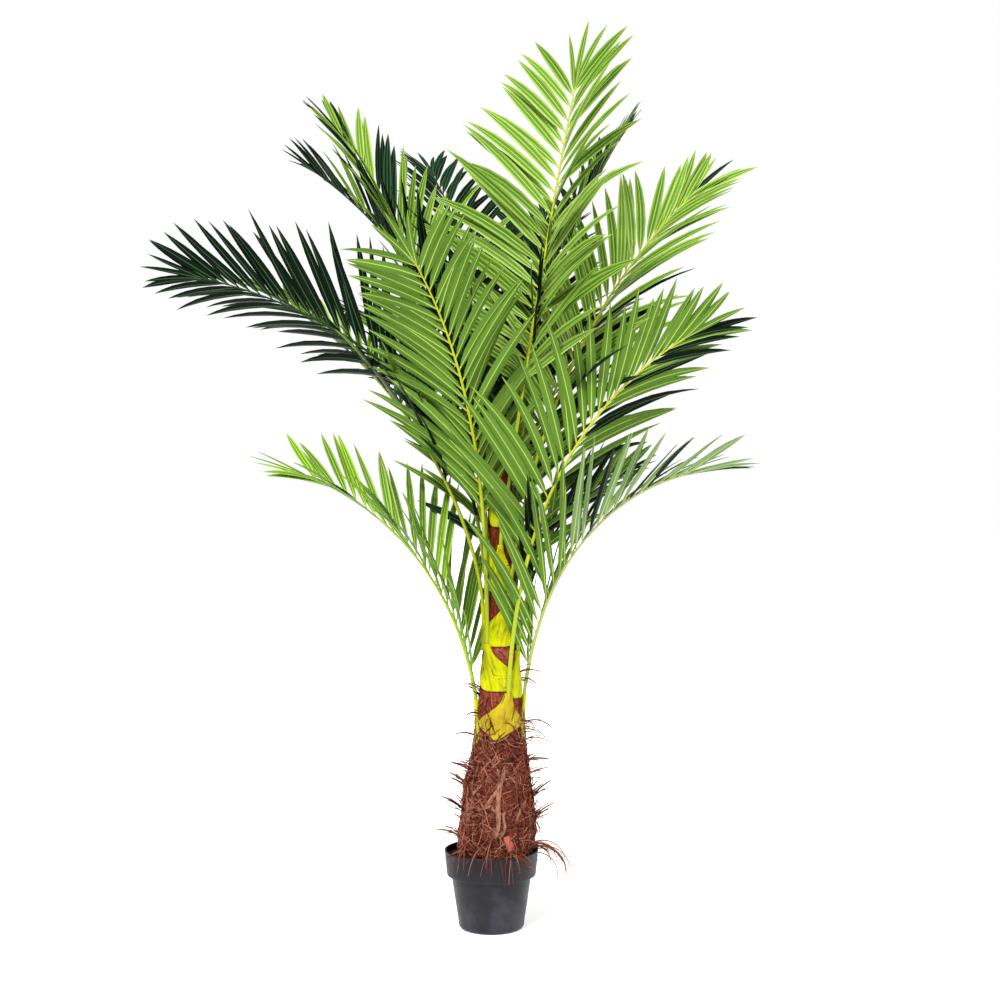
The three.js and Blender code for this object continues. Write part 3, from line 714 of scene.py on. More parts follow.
class TrunkSettings(bpy.types.PropertyGroup):
    """Sizes of the coir and how much of it there is."""

    lumps: bpy.props.FloatProperty(
        name="Lumps", description="Height of the lumps in the wrapped coir", default=0.0034,
        min=0.0, max=0.006, unit="LENGTH", precision=4,
    )
    mat_fibres: bpy.props.IntProperty(
        name="Mat Fibres", description="Fibres that lie on the coir", default=3800, min=0, max=4000,
    )
    crown_fibres: bpy.props.IntProperty(
        name="Crown Fibres", description="Fibres between the sheaths", default=1100, min=0,
        max=3000,
    )
    fibre: bpy.props.FloatProperty(
        name="Fibre", description="Radius of a coir fibre at its root", default=0.00105,
        min=0.0003, max=0.002, unit="LENGTH", precision=4,
    )


class FrondSettings(bpy.types.PropertyGroup):
    """Sizes of the leaflets."""

    pitch: bpy.props.FloatProperty(
        name="Pitch", description="Distance between leaflets on either side of the rachis",
        default=0.0246, min=0.015, max=0.05, unit="LENGTH", precision=4,
    )
    half_width: bpy.props.FloatProperty(
        name="Half Width", description="Half the width of the widest leaflets", default=0.0116,
        min=0.005, max=0.02, unit="LENGTH", precision=4,
    )
    fold: bpy.props.FloatProperty(
        name="Fold", description="How steeply the halves of a leaflet rise from its midrib",
        default=math.radians(17), min=0.0, max=math.radians(60), subtype="ANGLE",
    )
    unrest: bpy.props.FloatProperty(
        name="Unrest", description="How far leaflets stray from their rule, over the usual",
        default=1.0, min=0.0, max=2.0, subtype="FACTOR",
    )


class StageSettings(bpy.types.PropertyGroup):
    """Camera, floor and light."""

    distance: bpy.props.FloatProperty(
        name="Distance", description="Distance of the camera from the palm", default=3.0,
        min=1.0, max=20.0, unit="LENGTH",
    )
    eye: bpy.props.FloatProperty(
        name="Eye Height", description="Height of the camera over the floor", default=0.845,
        min=0.0, max=3.0, unit="LENGTH",
    )
    lens: bpy.props.FloatProperty(
        name="Lens", description="Focal length of the camera in millimetres", default=54.54,
        min=20.0, max=200.0, unit="CAMERA",
    )
    floor: bpy.props.FloatVectorProperty(
        name="Floor", description="Colour of the floor", subtype="COLOR", size=4,
        default=linear("#f2f2f0"), min=0.0, max=1.0,
    )
    table: bpy.props.FloatProperty(
        name="Table Light", description="Strength of the light from within the floor",
        default=0.42, min=0.0, max=2.0,
    )
    daylight: bpy.props.FloatProperty(
        name="Daylight", description="Strength of the light from all round", default=0.62,
        min=0.0, max=3.0,
    )
    key: bpy.props.FloatProperty(
        name="Key Light", description="Strength of the soft light at the upper left",
        default=5.4, min=0.0, max=10.0,
    )


# ---- pot and filling


def pot_profile(lip, recess):
    """Outer and inner line of the pot as (radius, height) points.

    From the middle of the underside: the recess, the foot ring, a quarter round of the
    corner's radius, the straight wall, the small fillets of the collar's step, the collar, a
    half round over the lip, and back inside at the wall's thickness.
    """
    wall = POT["wall"]
    step = POT["height"] - POT["band"]
    flat = POT["foot"] - POT["corner"]
    foot = [(flat * 0.2, recess), (flat * 0.84, recess), (flat * 0.88, 0)]
    corner = arc((flat, POT["corner"]), POT["corner"], -90, -6, 7)
    wall_line = np.linspace((POT["foot"] + 0.3, 14), (POT["shoulder"] - 0.3, step - 3), 8)
    under_collar = [
        (POT["shoulder"], step - 1.2), (POT["shoulder"] + 1.2, step),
        (POT["band_radius"] - 1.6, step), (POT["band_radius"] - 0.4, step + 0.5),
        (POT["band_radius"] + 0.1, step + 1.8),
    ]
    collar = np.linspace((88.6, step + 6), (POT["rim"] - 0.7, POT["height"] - 5), 4)
    over_lip = arc((POT["rim"] - lip, POT["height"] - lip), lip, -25, 205, 9)
    inside = [
        (POT["rim"] - wall - 0.5, POT["height"] - 8), (POT["band_radius"] - wall, step + 2),
        (POT["shoulder"] - wall, step + 1), (POT["foot"] - wall, POT["corner"] + 2),
        (flat, wall + 2), (flat * 0.5, wall + 2),
    ]
    return np.vstack([foot, corner, wall_line, under_collar, collar, over_lip, inside])


class MakePot(bpy.types.Operator):
    """Makes the moulded nursery pot"""

    bl_idname = "palm.make_pot"
    bl_label = "Pot"
    bl_options = {"REGISTER", "UNDO"}

    def execute(self, context):
        settings = context.scene.palm_pot
        profile = pot_profile(settings.lip * 1000, settings.recess * 1000)
        rings = turned_rings(profile, settings.sides)
        root = np.array([(0, 0, profile[0, 1])])
        tip = np.array([(0, 0, profile[-1, 1])])
        pot = tube_piece("nursery_pot", rings, root, tip, [pot_surface()])
        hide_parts("pot")
        return {"FINISHED"}


class MakeFilling(bpy.types.Operator):
    """Makes the cement that fills the pot"""

    bl_idname = "palm.make_filling"
    bl_label = "Filling"
    bl_options = {"REGISTER", "UNDO"}

    def execute(self, context):
        columns = 96
        inset = POT["wall"] + GAP
        low = [
            (30, 5), (POT["foot"] - POT["corner"], 5), (POT["foot"] - inset, POT["corner"] + 3),
            (POT["shoulder"] - inset - 0.5, POT["height"] - POT["band"] - 1),
            (POT["band_radius"] - inset, POT["height"] - POT["band"] + 4),
            (POT["band_radius"] - inset + 1.6, FILLING_TOP - 3),
        ]
        radius = np.linspace(POT["band_radius"] - inset + 1, 8, 26)
        top = np.stack([radius, np.full(len(radius), FILLING_TOP)], axis=-1)
        profile = np.vstack([low, top])
        rings = turned_rings(profile, columns)
        azimuth = 360 * np.arange(columns) / columns
        rough = ripples(azimuth[None], 4 * radius[:, None], (17, 0.35), 5)
        rings[0, len(low):, :, 2] += 1.3 * rough - 1.2
        root = np.array([(0, 0, 5.0)])
        tip = np.array([(0, 0, FILLING_TOP - 1.0)])
        filling = tube_piece("cement_filling", rings, root, tip, [cement_surface()])
        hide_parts("pot_filling")
        return {"FINISHED"}


# ---- trunk


def coir_depth(azimuth, height, lumps):
    """How far the coir stands out of the trunk's table: broad lumps and ridges below, and a
    thin even wrap above."""
    wrapped = 1 - smoothstep(height, COIR_TOP - 30, COIR_TOP + 20)
    broad = ripples(azimuth, height, (6, 0.06), 11)
    ridges = ripples(azimuth, height, (24, 0.3), 12)
    fine = ripples(azimuth, height, (60, 0.9), 13)
    return wrapped * lumps * (0.55 * broad + 0.35 * ridges + 0.2 * fine) + 0.25 * fine


class MakeTrunk(bpy.types.Operator):
    """Makes the trunk in its mat of coir"""

    bl_idname = "palm.make_trunk"
    bl_label = "Trunk"
    bl_options = {"REGISTER", "UNDO"}

    def execute(self, context):
        lumps = context.scene.palm_trunk.lumps * 1000
        columns, change = TRUNK_RINGS["sides"], TRUNK_RINGS["close_to"]
        heights = np.concatenate([
            np.arange(FILLING_TOP + GAP, change, TRUNK_RINGS["close"]),
            np.arange(change, TRUNK_TOP - 2, TRUNK_RINGS["wide"]),
        ])
        azimuth = 360 * np.arange(columns) / columns
        radius = smooth_line(TRUNK, heights)[:, None] + coir_depth(
            azimuth[None], heights[:, None], lumps
        )
        rings = beside_trunk(azimuth[None], heights[:, None], radius)
        root = trunk_middle(heights[:1])
        tip = trunk_middle(np.array([TRUNK_TOP]))
        materials = [coir_mat_surface(dye) for dye in COIR_DYE_AND_SHADE]
        # Above the crown's height the wrap takes the darker ramp, painted shade under the fronds.
        above = np.append(heights, heights[-1]) > CROWN_SHADE_HEIGHT
        trunk = tube_piece(
            "coir_trunk", rings[None], root, tip, materials, above.astype(int)[None, :, None]
        )
        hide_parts("trunk")
        return {"FINISHED"}


def fibre_tubes(path, radius, outward):
    """Three-sided rings, roots and tips of fibres that taper along their paths.

    The radius falls with the square root of what is left of the path, down to a third.
    """
    share = np.linspace(0, 1, path.shape[1])
    thin = radius[:, None] * (0.33 + 0.67 * np.sqrt(1 - share))[None]
    along, across, upright = carried_frame(path, outward)
    rings = rings_on(path, across, upright, thin[..., None, None] * circle(3))
    end = radius[:, None]
    return rings, path[:, 0] - along[:, 0] * end, path[:, -1] + along[:, -1] * end


def laid_fibres(random, count, band, length, depth, flyaway, lumps):
    """Paths of fibres that lie on the trunk, as points and outward directions.

    A fibre starts at a random azimuth and at a height in the band. Its course on the surface is
    steered by an angle that begins anywhere within 75 degrees of upright, up or down, and curls
    at a steady rate with a wave on top. It lies at a depth over the surface that rises and
    falls by half a sine, and the flyaway share of them lift off with the square of the way.
    """
    stations = 8
    share = np.linspace(0, 1, stations)[None]
    azimuth = random.uniform(0, 360, (count, 1))
    height = random.uniform(*band, (count, 1))
    reach = random.uniform(*length, (count, 1))
    down = np.where(random.random((count, 1)) < LAY["down"], 180, 0)
    steer = down + random.uniform(-LAY["steer"], LAY["steer"], (count, 1))
    curl = random.normal(0, LAY["curl"], (count, 1))
    wave = random.uniform(0, LAY["wave"], (count, 1))
    phase = random.uniform(0, 2 * math.pi, (count, 1))
    angle = np.radians(steer + curl * share + wave * np.sin(7 * share + phase))
    step = reach / (stations - 1)
    rise = np.cumsum(np.cos(angle) * step, axis=1)
    turn = np.cumsum(np.sin(angle) * step, axis=1)
    heights = np.clip(height + rise, FILLING_TOP + 3, TRUNK_TOP - 5)
    radius = trunk_radius(heights)
    azimuths = azimuth + np.degrees(turn / np.maximum(radius, 12))
    loose = random.random((count, 1)) < flyaway
    bulge = random.uniform(*depth, (count, 1)) * np.sin(math.pi * share)
    lift = np.where(loose, random.uniform(*LAY["loose"], (count, 1)) * share ** 2, bulge)
    ground = radius + coir_depth(azimuths, heights, lumps)
    return beside_trunk(azimuths, heights, ground - 0.4 + lift), around(azimuths)


def strand_paths(random, table, copies, thick):
    """Paths, normals and radii of a table's loose strands, with thinner copies beside each.

    The rule is the solid model's: elevation falls evenly from lift to lift less droop. Copies
    differ from their strand by random amounts, and all of them wave a little from side to side.
    thick is the radius over the usual.
    """
    stations = 11
    rows = np.repeat(table, copies + 1, axis=0)
    count = len(rows)
    own = (np.arange(count) % (copies + 1) > 0)[:, None]
    differ = lambda key: own * random.uniform(-COPY[key], COPY[key], (count, 1))
    azimuth = rows[:, 0:1] + differ("azimuth")
    height = rows[:, 1:2] + differ("height")
    shorter = np.where(own, random.uniform(*COPY["length"], (count, 1)), 1)
    length = rows[:, 2:3] * shorter + COPY["set_in"]
    share = np.linspace(0, 1, stations)[None]
    elevation = np.radians(rows[:, 3:4] + differ("lift") - rows[:, 4:5] * share)
    out, side = around(azimuth), around(azimuth + 90)
    forward = np.cos(elevation)[..., None] * out + np.sin(elevation)[..., None] * (0, 0, 1)
    start = beside_trunk(azimuth, height, trunk_radius(height) - COPY["set_in"])
    moved = np.cumsum(forward * (length / (stations - 1))[..., None], axis=1)
    phase = random.uniform(0, 2 * math.pi, (count, 1))
    wave = 2.2 * share * np.sin(5 * share + phase)
    path = start + moved - moved[:, :1] + wave[..., None] * side
    normal = np.cross(side, forward)
    thin = random.uniform(*COPY["radius"], count)
    full = random.uniform(*COPY["full_radius"], count)
    return path, normal, np.where(own[:, 0], thin, full) * thick


def overhang_paths(random):
    """Paths of fibres that spill out of the pot over the front of its rim, in tufts.

    Each starts in a tuft and strays sideways. It rises from the coir, clears the rim by a few
    millimetres and falls beside the collar: its distance from the trunk grows with the square
    root of the way, and its height first rises and then falls with the square.
    """
    count = OVERHANG["count"]
    share = np.linspace(0, 1, 10)[None]
    tuft = random.choice(OVERHANG["tufts"], (count, 1))
    azimuth = tuft + random.uniform(-5, 5, (count, 1)) + random.uniform(-16, 16, (count, 1)) * share
    rise = OVERHANG["rise"]
    start = random.uniform(*OVERHANG["start"], (count, 1))
    fall = random.uniform(*OVERHANG["fall"], (count, 1))
    height = start + rise * share - (fall + rise) * share ** 2
    reach = random.uniform(*OVERHANG["reach"], (count, 1))
    distance = OVERHANG["distance"] + reach * np.sqrt(share)
    out = around(azimuth)
    middle = trunk_middle(height) * (1 - share[..., None] * (1, 1, 0))
    wave = 1.5 * np.sin(9 * share + random.uniform(0, 6, (count, 1)))
    path = middle + out * (distance + wave * share)[..., None]
    return path, out


class MakeCoir(bpy.types.Operator):
    """Makes the loose fibres and strands of the coir"""

    bl_idname = "palm.make_coir"
    bl_label = "Coir Fibres"
    bl_options = {"REGISTER", "UNDO"}

    def execute(self, context):
        settings = context.scene.palm_trunk
        counts = (settings.mat_fibres, settings.crown_fibres)
        lumps, thick = settings.lumps * 1000, settings.fibre * 1000
        random = np.random.default_rng(20)
        surfaces = coir_fibre_surfaces()
        for count, (name, layer) in zip(counts, LAID.items()):
            *rule, over, shades = layer
            path, out = laid_fibres(random, count, *rule, lumps)
            radius = thick * over * random.uniform(0.6, 1.3, count)
            self.add(name, random, path, out, radius, surfaces, shades)
        for name, (table, copies, over, shades) in STRAYS.items():
            path, normal, radius = strand_paths(random, table, copies, over)
            self.add(name, random, path, normal, radius, surfaces, shades)
        path, out = overhang_paths(random)
        radius = thick * OVERHANG["thick"] * random.uniform(0.6, 1.3, len(path))
        self.add("coir_overhang", random, path, out, radius, surfaces, OVERHANG["shades"])
        return {"FINISHED"}

    def add(self, name, random, path, out, radius, surfaces, shades):
        """Makes one piece of fibres, deals out its shades and hides the solid model's trunk."""
        rings, roots, tips = fibre_tubes(path, radius, out)
        shade = random.choice(len(shades), len(rings), p=np.array(shades) / sum(shades))
        piece = tube_piece(name, rings, roots, tips, surfaces, shade[:, None, None])
        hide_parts("trunk")


def strap_rings(rows, lumps):
    """Flat straps on the coir: lens-shaped sections with eight corners carried over the trunk.

    Azimuth and height run evenly from end to end with a sideways wave, the strap's middle
    lies its lift over the coir, sinks in at both ends, and its width narrows to a third there.
    """
    share = np.linspace(0, 1, 18)[None]
    wave = np.sin(math.pi * share) * np.sin(4 * share + rows[:, 0:1])
    azimuth = rows[:, 0:1] + (rows[:, 2:3] - rows[:, 0:1]) * share + 4 * wave
    height = rows[:, 1:2] + (rows[:, 3:4] - rows[:, 1:2]) * share
    out = around(azimuth)
    lift = rows[:, 5:6] * np.sin(math.pi * share) ** 0.5 - 1
    ground = trunk_radius(height) + coir_depth(azimuth, height, lumps)
    path = beside_trunk(azimuth, height, ground + lift)
    width = rows[:, 4:5] / 2 * (0.33 + 0.67 * np.sin(math.pi * share) ** 0.4)
    _, across, upright = carried_frame(path, out)
    size = np.stack([width, 0.8 + 0 * width], axis=-1)[:, :, None, :]
    rings = rings_on(path, across, upright, circle(8) * size)
    return rings, path[:, 0] - out[:, 0], path[:, -1] - out[:, -1]


def stub_rings():
    """The cut stalk in the coir: a rounded bar, wider below, that leans to one side."""
    share = np.linspace(0, 1, 7)[None]
    azimuth = STUB["azimuth"] + STUB["lean"] * (share - 0.5)
    height = STUB["height"] - STUB["length"] * share
    path = beside_trunk(azimuth, height, trunk_radius(height) + STUB["proud"] + 2 * share)
    width = STUB["width"] / 2 * (0.8 + 0.2 * share)
    _, across, upright = carried_frame(path, around(azimuth))
    square = np.sign(circle(16)) * np.abs(circle(16)) ** 0.45
    size = np.stack([width, STUB["thickness"] / 2 + 0 * width], axis=-1)
    rings = rings_on(path, across, upright, square[None, None] * size[:, :, None, :])
    return rings, path[:, 0], path[:, -1]


class MakeStraps(bpy.types.Operator):
    """Makes the straps and the cut stub of old leaves in the coir"""

    bl_idname = "palm.make_straps"
    bl_label = "Straps"
    bl_options = {"REGISTER", "UNDO"}

    def execute(self, context):
        lumps = context.scene.palm_trunk.lumps * 1000
        for name, (rings, roots, tips), part in (
            ("leaf_straps", strap_rings(STRAPS, lumps), "strap"),
            ("stalk_stub", stub_rings(), "stub"),
        ):
            piece = tube_piece(name, rings, roots, tips, [old_leaf_surface(part)])
            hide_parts("trunk")
        return {"FINISHED"}


# ---- fronds


def rachis_course(frond):
    """A frond's rachis: its points with their forward, side and normal directions.

    Elevation is lift less droop times the share of the length to its power. Each step adds the
    forward direction times an equal part of the length, and the blade rolls by a smooth step
    over the bare part.
    """
    steps = RACHIS["steps"]
    share = np.linspace(0, 1, steps + 1)
    elevation = np.radians(frond["lift"] - frond["droop"] * share ** frond["power"])[:, None]
    out = around(frond["heading"])
    up = np.array((0.0, 0.0, 1.0))
    forward = np.cos(elevation) * out + np.sin(elevation) * up
    normal = np.cos(elevation) * up - np.sin(elevation) * out
    side = np.cross(forward, normal)
    turn = np.radians(frond["twist"] * smoothstep(share, 0, frond["bare"]))[:, None]
    foot = SHEATH["standoff"] + RACHIS["base"] * RACHIS["depth"]
    start = beside_trunk(frond["stem"], frond["height"], trunk_radius(frond["height"]) + foot)
    moved = np.cumsum(forward[:-1], axis=0) * frond["length"] / steps
    return {
        "share": share,
        "point": start + np.vstack([np.zeros(3), moved]),
        "forward": forward,
        "side": np.cos(turn) * side + np.sin(turn) * normal,
        "normal": np.cos(turn) * normal - np.sin(turn) * side,
    }


def on_course(course, share):
    """Points and directions of a course at shares of its length."""
    place = {}
    for key in ("point", "forward", "side", "normal"):
        columns = [np.interp(share, course["share"], course[key][:, axis]) for axis in range(3)]
        place[key] = np.stack(columns, axis=-1)
        if key != "point":
            place[key] = unit(place[key])
    return place


def rachis_width(share):
    """Half width of the rachis: from base to tip with what is left of it to the taper."""
    return RACHIS["tip"] + (RACHIS["base"] - RACHIS["tip"]) * (1 - share) ** RACHIS["taper"]


def rachis_rings(frond, course):
    """A rachis: flat with a shallow groove above and keeled below.

    Its section is a circle whose radius swells by an eighth at three corners, two above and
    one below, with a dent above between them. The lowest sections lie against the sheath and
    turn with the trunk.
    """
    columns = 12
    share = np.concatenate([[0, 0], np.linspace(0.02, 1, RACHIS["rings"])])
    place = on_course(course, share)
    stem = around(frond["stem"])
    foot = SHEATH["standoff"] + RACHIS["base"] * RACHIS["depth"]
    lower = frond["height"] - RACHIS["set_in"] * np.array([1.0, 0.45])
    place["point"][:2] = beside_trunk(frond["stem"], lower, trunk_radius(lower) + foot)
    blend = smoothstep(share, 0, 0.1)[:, None]
    side = unit(blend * place["side"] + (1 - blend) * around(frond["stem"] - 90))
    normal = unit(blend * place["normal"] - (1 - blend) * stem)
    angle = 2 * math.pi * np.arange(columns) / columns
    dent = 0.16 * np.exp(-((angle - math.pi / 2) / 0.45) ** 2)
    swell = 0.86 * (1 + 0.12 * np.cos(3 * (angle - math.radians(30)))) - dent
    width = rachis_width(share)
    width[:3] *= RACHIS_FOOT
    shape = circle(columns) * swell[:, None] * (1, 0.82)
    offsets = (width[:, None, None] * shape[None])[None]
    # Side cross normal points backwards along the course, so the ring is taken the other way.
    offsets = offsets[:, :, ::-1]
    rings = rings_on(place["point"][None], side[None], normal[None], offsets)
    root = place["point"][:1] - (0, 0, 3)
    tip = place["point"][-1:] + place["forward"][-1:] * 2
    return rings, root, tip


def sheath_rings(frond, widths):
    """A sheath and its pattern's places: a plate bent round the trunk.

    Half its width in degrees follows the table of widths, its azimuth swings from seat to stem
    by a smooth step, and its thickness falls with the square of the way to its sides. A ridge
    of bell-shaped section rises with the square of the height, to meet the rachis, and the
    lower edge stands a little off.
    """
    rows, columns = 30, 18
    rise = np.linspace(0, 1, rows)[:, None]
    across = np.linspace(-1, 1, columns)[None]
    height = frond["height"] - SHEATH["height"] * (1 - rise)
    azimuth = frond["seat"] + (frond["stem"] - frond["seat"]) * smoothstep(rise, 0, 1)
    half = frond["clasp"] * smooth_line(widths, rise)
    spread = azimuth + across * half
    radius = smooth_line(TRUNK, height)
    thinned = 1 - (1 - SHEATH["edge"]) * across ** 2
    thickness = SHEATH["thickness"] * thinned + SHEATH["thickening"] * rise
    aside = np.radians(across * half) * radius
    ridge = SHEATH["ridge"] * rise ** 2 * np.exp(-(aside / SHEATH["ridge_width"]) ** 2)
    flare = SHEATH["flare"] * (1 - rise) ** 3 * across ** 2
    inner = radius + SHEATH["standoff"] + flare + 0 * across
    outer = inner + thickness + ridge
    outer_points = beside_trunk(spread, height, outer)
    inner_points = beside_trunk(spread, height, inner)
    rings = np.concatenate([outer_points, inner_points[:, ::-1]], axis=1)[None]
    place = np.stack([aside, height + 0 * aside], axis=-1) * 0.001
    uv = np.concatenate([place, place[:, ::-1]], axis=1)[None]
    return rings, rings[:, 0].mean(axis=1), rings[:, -1].mean(axis=1), uv


def leaflet_frames(frond, course, random, pitch, unrest):
    """Where a frond's leaflets stand, which way they point and how long and wide they are.

    The rule is the solid model's: leaflets open by their frond's angle, which closes towards
    the tip, rise by 30 degrees out of the blade, and shorten and narrow towards the tip. Each
    strays a little from it. The last rows are the leaflet that ends the rachis and one more on
    either side of it.
    """
    bare = frond["bare"]
    count = round(frond["length"] * (1 - bare) / pitch)
    hands = np.repeat([1.0, -1.0], count)
    reach = np.tile((np.arange(count) + 0.5) / count, 2)
    reach = reach + hands * 0.2 / count + random.uniform(-0.12, 0.12, 2 * count) / count
    reach = np.clip(reach, 0.004, 0.995)
    place = on_course(course, bare + (1 - bare) * reach)
    stray = lambda size: unrest * random.normal(0, size, 2 * count)
    closed = frond["closing"] * reach ** LEAFLET["closing_power"]
    angle = np.radians(frond["open"] - closed + stray(STRAY["open"]))[:, None]
    raised = LEAFLET["raise"] * (1 - LEAFLET["flattening"] * reach ** 2)
    lift = np.radians(raised + stray(STRAY["lift"]))[:, None]
    outward = hands[:, None] * place["side"]
    sideways = np.cos(lift) * outward + np.sin(lift) * place["normal"]
    direction = np.cos(angle) * place["forward"] + np.sin(angle) * sideways
    first = LEAFLET["first"]
    grown = first + (1 - first) * np.minimum(1, reach / LEAFLET["first_reach"])
    shortened = 1 - LEAFLET["shortening"] * reach ** LEAFLET["shortening_power"]
    own = 1 + np.clip(stray(STRAY["length"]), -0.1, 0.06)
    length = frond["leaf"] * shortened * grown * own
    width = 1 - LEAFLET["narrowing"] * reach

    end = on_course(course, np.array([1.0, 0.995, 0.99]))
    end_hand = np.array([0.0, 1.0, -1.0])
    end_out = end["side"] * end_hand[:, None]
    end_direction = unit(end["forward"] + 0.2 * end_out)
    end_length = frond["leaf"] * LEAFLET["end_length"] * np.array([1.0, 0.98, 0.96])
    both = {
        "point": (place["point"], end["point"]),
        "direction": (direction, end_direction),
        "outward": (outward, end_out),
        "across": (place["forward"], end["side"]),
        "normal": (place["normal"], end["normal"]),
        "length": (length, end_length),
        "width": (width, LEAFLET["end_widths"]),
        "hand": (hands, end_hand),
        "reach": (reach, np.ones(3)),
    }
    return {key: np.concatenate(parts) for key, parts in both.items()}


def leaflet_rings(leaflets, random, half_width, fold, unrest):
    """Leaflets as folded blades, each with a raised midrib and a keel.

    A leaflet runs along its direction, bends outward with the square of the way and sags with
    the square of its length. Its half width follows the outline's table. Across, its halves
    rise from the midrib by the fold, the midrib stands 0.5 mm proud, and the keel lies below
    it. The whole blade turns about its own length by a steady twist.
    """
    stations = len(LEAF_OUTLINE)
    t = np.concatenate([[0.0], LEAF_OUTLINE[:, 0], [1.0]])[None, :, None]
    length = leaflets["length"][:, None, None]
    count = len(leaflets["length"])
    stray = lambda size: unrest * random.normal(0, size, (count, 1, 1))
    sag = LEAFLET["sag"] * (1 + np.clip(stray(STRAY["sag"]), -0.7, 0.8))
    bend = LEAFLET["outward"] + stray(STRAY["bend"])
    path = (
        leaflets["point"][:, None]
        + leaflets["direction"][:, None] * length * t
        + leaflets["outward"][:, None] * length * bend * t ** 2
        - np.array((0, 0, 1.0)) * sag * length ** 2 * t ** LEAFLET["sag_power"]
        + leaflets["across"][:, None] * length * stray(STRAY["aside"]) * t ** 2
    )
    direction = leaflets["direction"]
    across = leaflets["across"]
    across = unit(across - np.sum(across * direction, axis=-1, keepdims=True) * direction)
    normal = np.cross(direction, across)
    normal *= np.sign(np.sum(normal * leaflets["normal"], axis=-1, keepdims=True))
    _, across, upright = carried_frame(path, normal[:, None])
    twist = np.radians(stray(STRAY["roll"]) + stray(STRAY["twist"]) * t)
    across, upright = (
        np.cos(twist) * across + np.sin(twist) * upright,
        np.cos(twist) * upright - np.sin(twist) * across,
    )

    share = LEAF_OUTLINE[:, 0]
    half = half_width * leaflets["width"][:, None] * LEAF_OUTLINE[:, 1][None]
    left = 1 - share
    rib = np.minimum(BLADE["rib_share"] * half, BLADE["rib"] + BLADE["rib_growth"] * left)
    deep = half * BLADE["inner"]
    keel = -BLADE["keel"] - BLADE["keel_growth"] * left * np.ones_like(half)
    slope = math.tan(fold)
    rise, inner_rise = half * slope, deep * slope + BLADE["inner_rise"]
    rib_rise = rib * slope + BLADE["rib_rise"]
    places = [
        (half, rise), (deep, inner_rise), (rib, rib_rise), (-rib, rib_rise),
        (-deep, inner_rise), (-half, rise), (-rib, keel), (rib, keel),
    ]
    offsets = np.stack([np.stack(place, axis=-1) for place in places], axis=2)
    inner = slice(1, stations + 1)
    rings = rings_on(path[:, inner], across[:, inner], upright[:, inner], offsets)
    distance = leaflets["length"][:, None, None] * share[None, :, None]
    uv = np.stack([offsets[..., 0], distance + 0 * offsets[..., 0]], axis=-1) * 0.001
    return rings, path[:, 0], path[:, -1], uv


def leaflet_slots(leaflets, frond, random, inner):
    """Material numbers of every leaflet's eight strips, for each of its rings.

    Strips run from one margin over the midrib to the other and back under the leaflet, where
    the midrib shows again. Leaflets take one of their frond's two shades (materials 0 to 5), or
    the same of the odd finish (6 to 11), dealt out by the frond's shares, or of fresh green
    (13 to 18) where they stand below inner. The root has the rachis's surface (12).
    """
    count = len(leaflets["hand"])
    share = np.where(leaflets["hand"] >= 0, frond["odd_right"], frond["odd_left"])
    # Odd leaflets of the dark finish are painted shade on leaflets turned away from the light.
    odd = (random.random(count) < share).astype(int)
    shade = random.integers(0, 2, count)
    base = np.where(leaflets["reach"] < inner, 13, 6 * odd)
    # Margins take the paler shades: painted sheen along the leaflet's edges.
    deep, margin, midrib, under = base + shade, base + 2 + shade, base + 4, base + 5
    strips = np.stack([margin, deep, midrib, deep, margin, under, midrib, under], axis=-1)
    slots = np.repeat(strips[:, None], len(LEAF_OUTLINE) + 1, axis=1)
    slots[:, :2] = 12
    return slots


class MakeFronds(bpy.types.Operator):
    """Makes every frond: its sheath, its rachis and its leaflets"""

    bl_idname = "palm.make_fronds"
    bl_label = "Fronds"
    bl_options = {"REGISTER", "UNDO"}

    def execute(self, context):
        settings = context.scene.palm_frond
        finishes = {finish: leaf_surfaces(finish) for finish in LEAF_FINISHES}
        sprays = {spray: sheath_surface(spray) for spray in SHEATH_SPRAYS}
        for number, frond in enumerate(FRONDS, start=1):
            node = f"frond_{number:02d}"
            random = np.random.default_rng(300 + number)
            course = rachis_course(frond)
            own, odd = finishes[frond["tint"]], finishes[frond["odd"]]

            widths = POINTED_WIDTH if number == POINTED else SHEATH_WIDTH
            plastic = sprays["ripe" if number == POINTED else "fresh"]
            rings, root, tip, uv = sheath_rings(frond, widths)
            sheath = tube_piece(f"{node}_sheath", rings, root, tip, [plastic], uv=uv)
            rings, root, tip = rachis_rings(frond, course)
            stalk = np.arange(rings.shape[1] + 1) < 2 + RACHIS["rings"] * (frond["bare"] * 0.9)
            rachis = tube_piece(
                f"{node}_rachis", rings, root, tip, [own[6], own[7]],
                np.where(stalk, 0, 1)[None, :, None],
            )

            slim = SLIM[number - 1]
            leaflets = leaflet_frames(
                frond, course, random, settings.pitch * 1000 * math.sqrt(slim), settings.unrest
            )
            rings, roots, tips, uv = leaflet_rings(
                leaflets, random, settings.half_width * 1000 * slim, settings.fold, settings.unrest
            )
            materials = own[:6] + odd[:6] + own[7:]
            inner = 0
            if frond["tint"] == "pale":
                materials += finishes["fresh"][:6]
                inner = PALE_INNER
            blades = tube_piece(
                f"{node}_leaflets", rings, roots, tips, materials,
                leaflet_slots(leaflets, frond, random, inner), sharp=(0, 5), uv=uv,
            )
            for piece in (sheath, rachis, blades):
                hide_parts(node)
        return {"FINISHED"}


# ---- stage


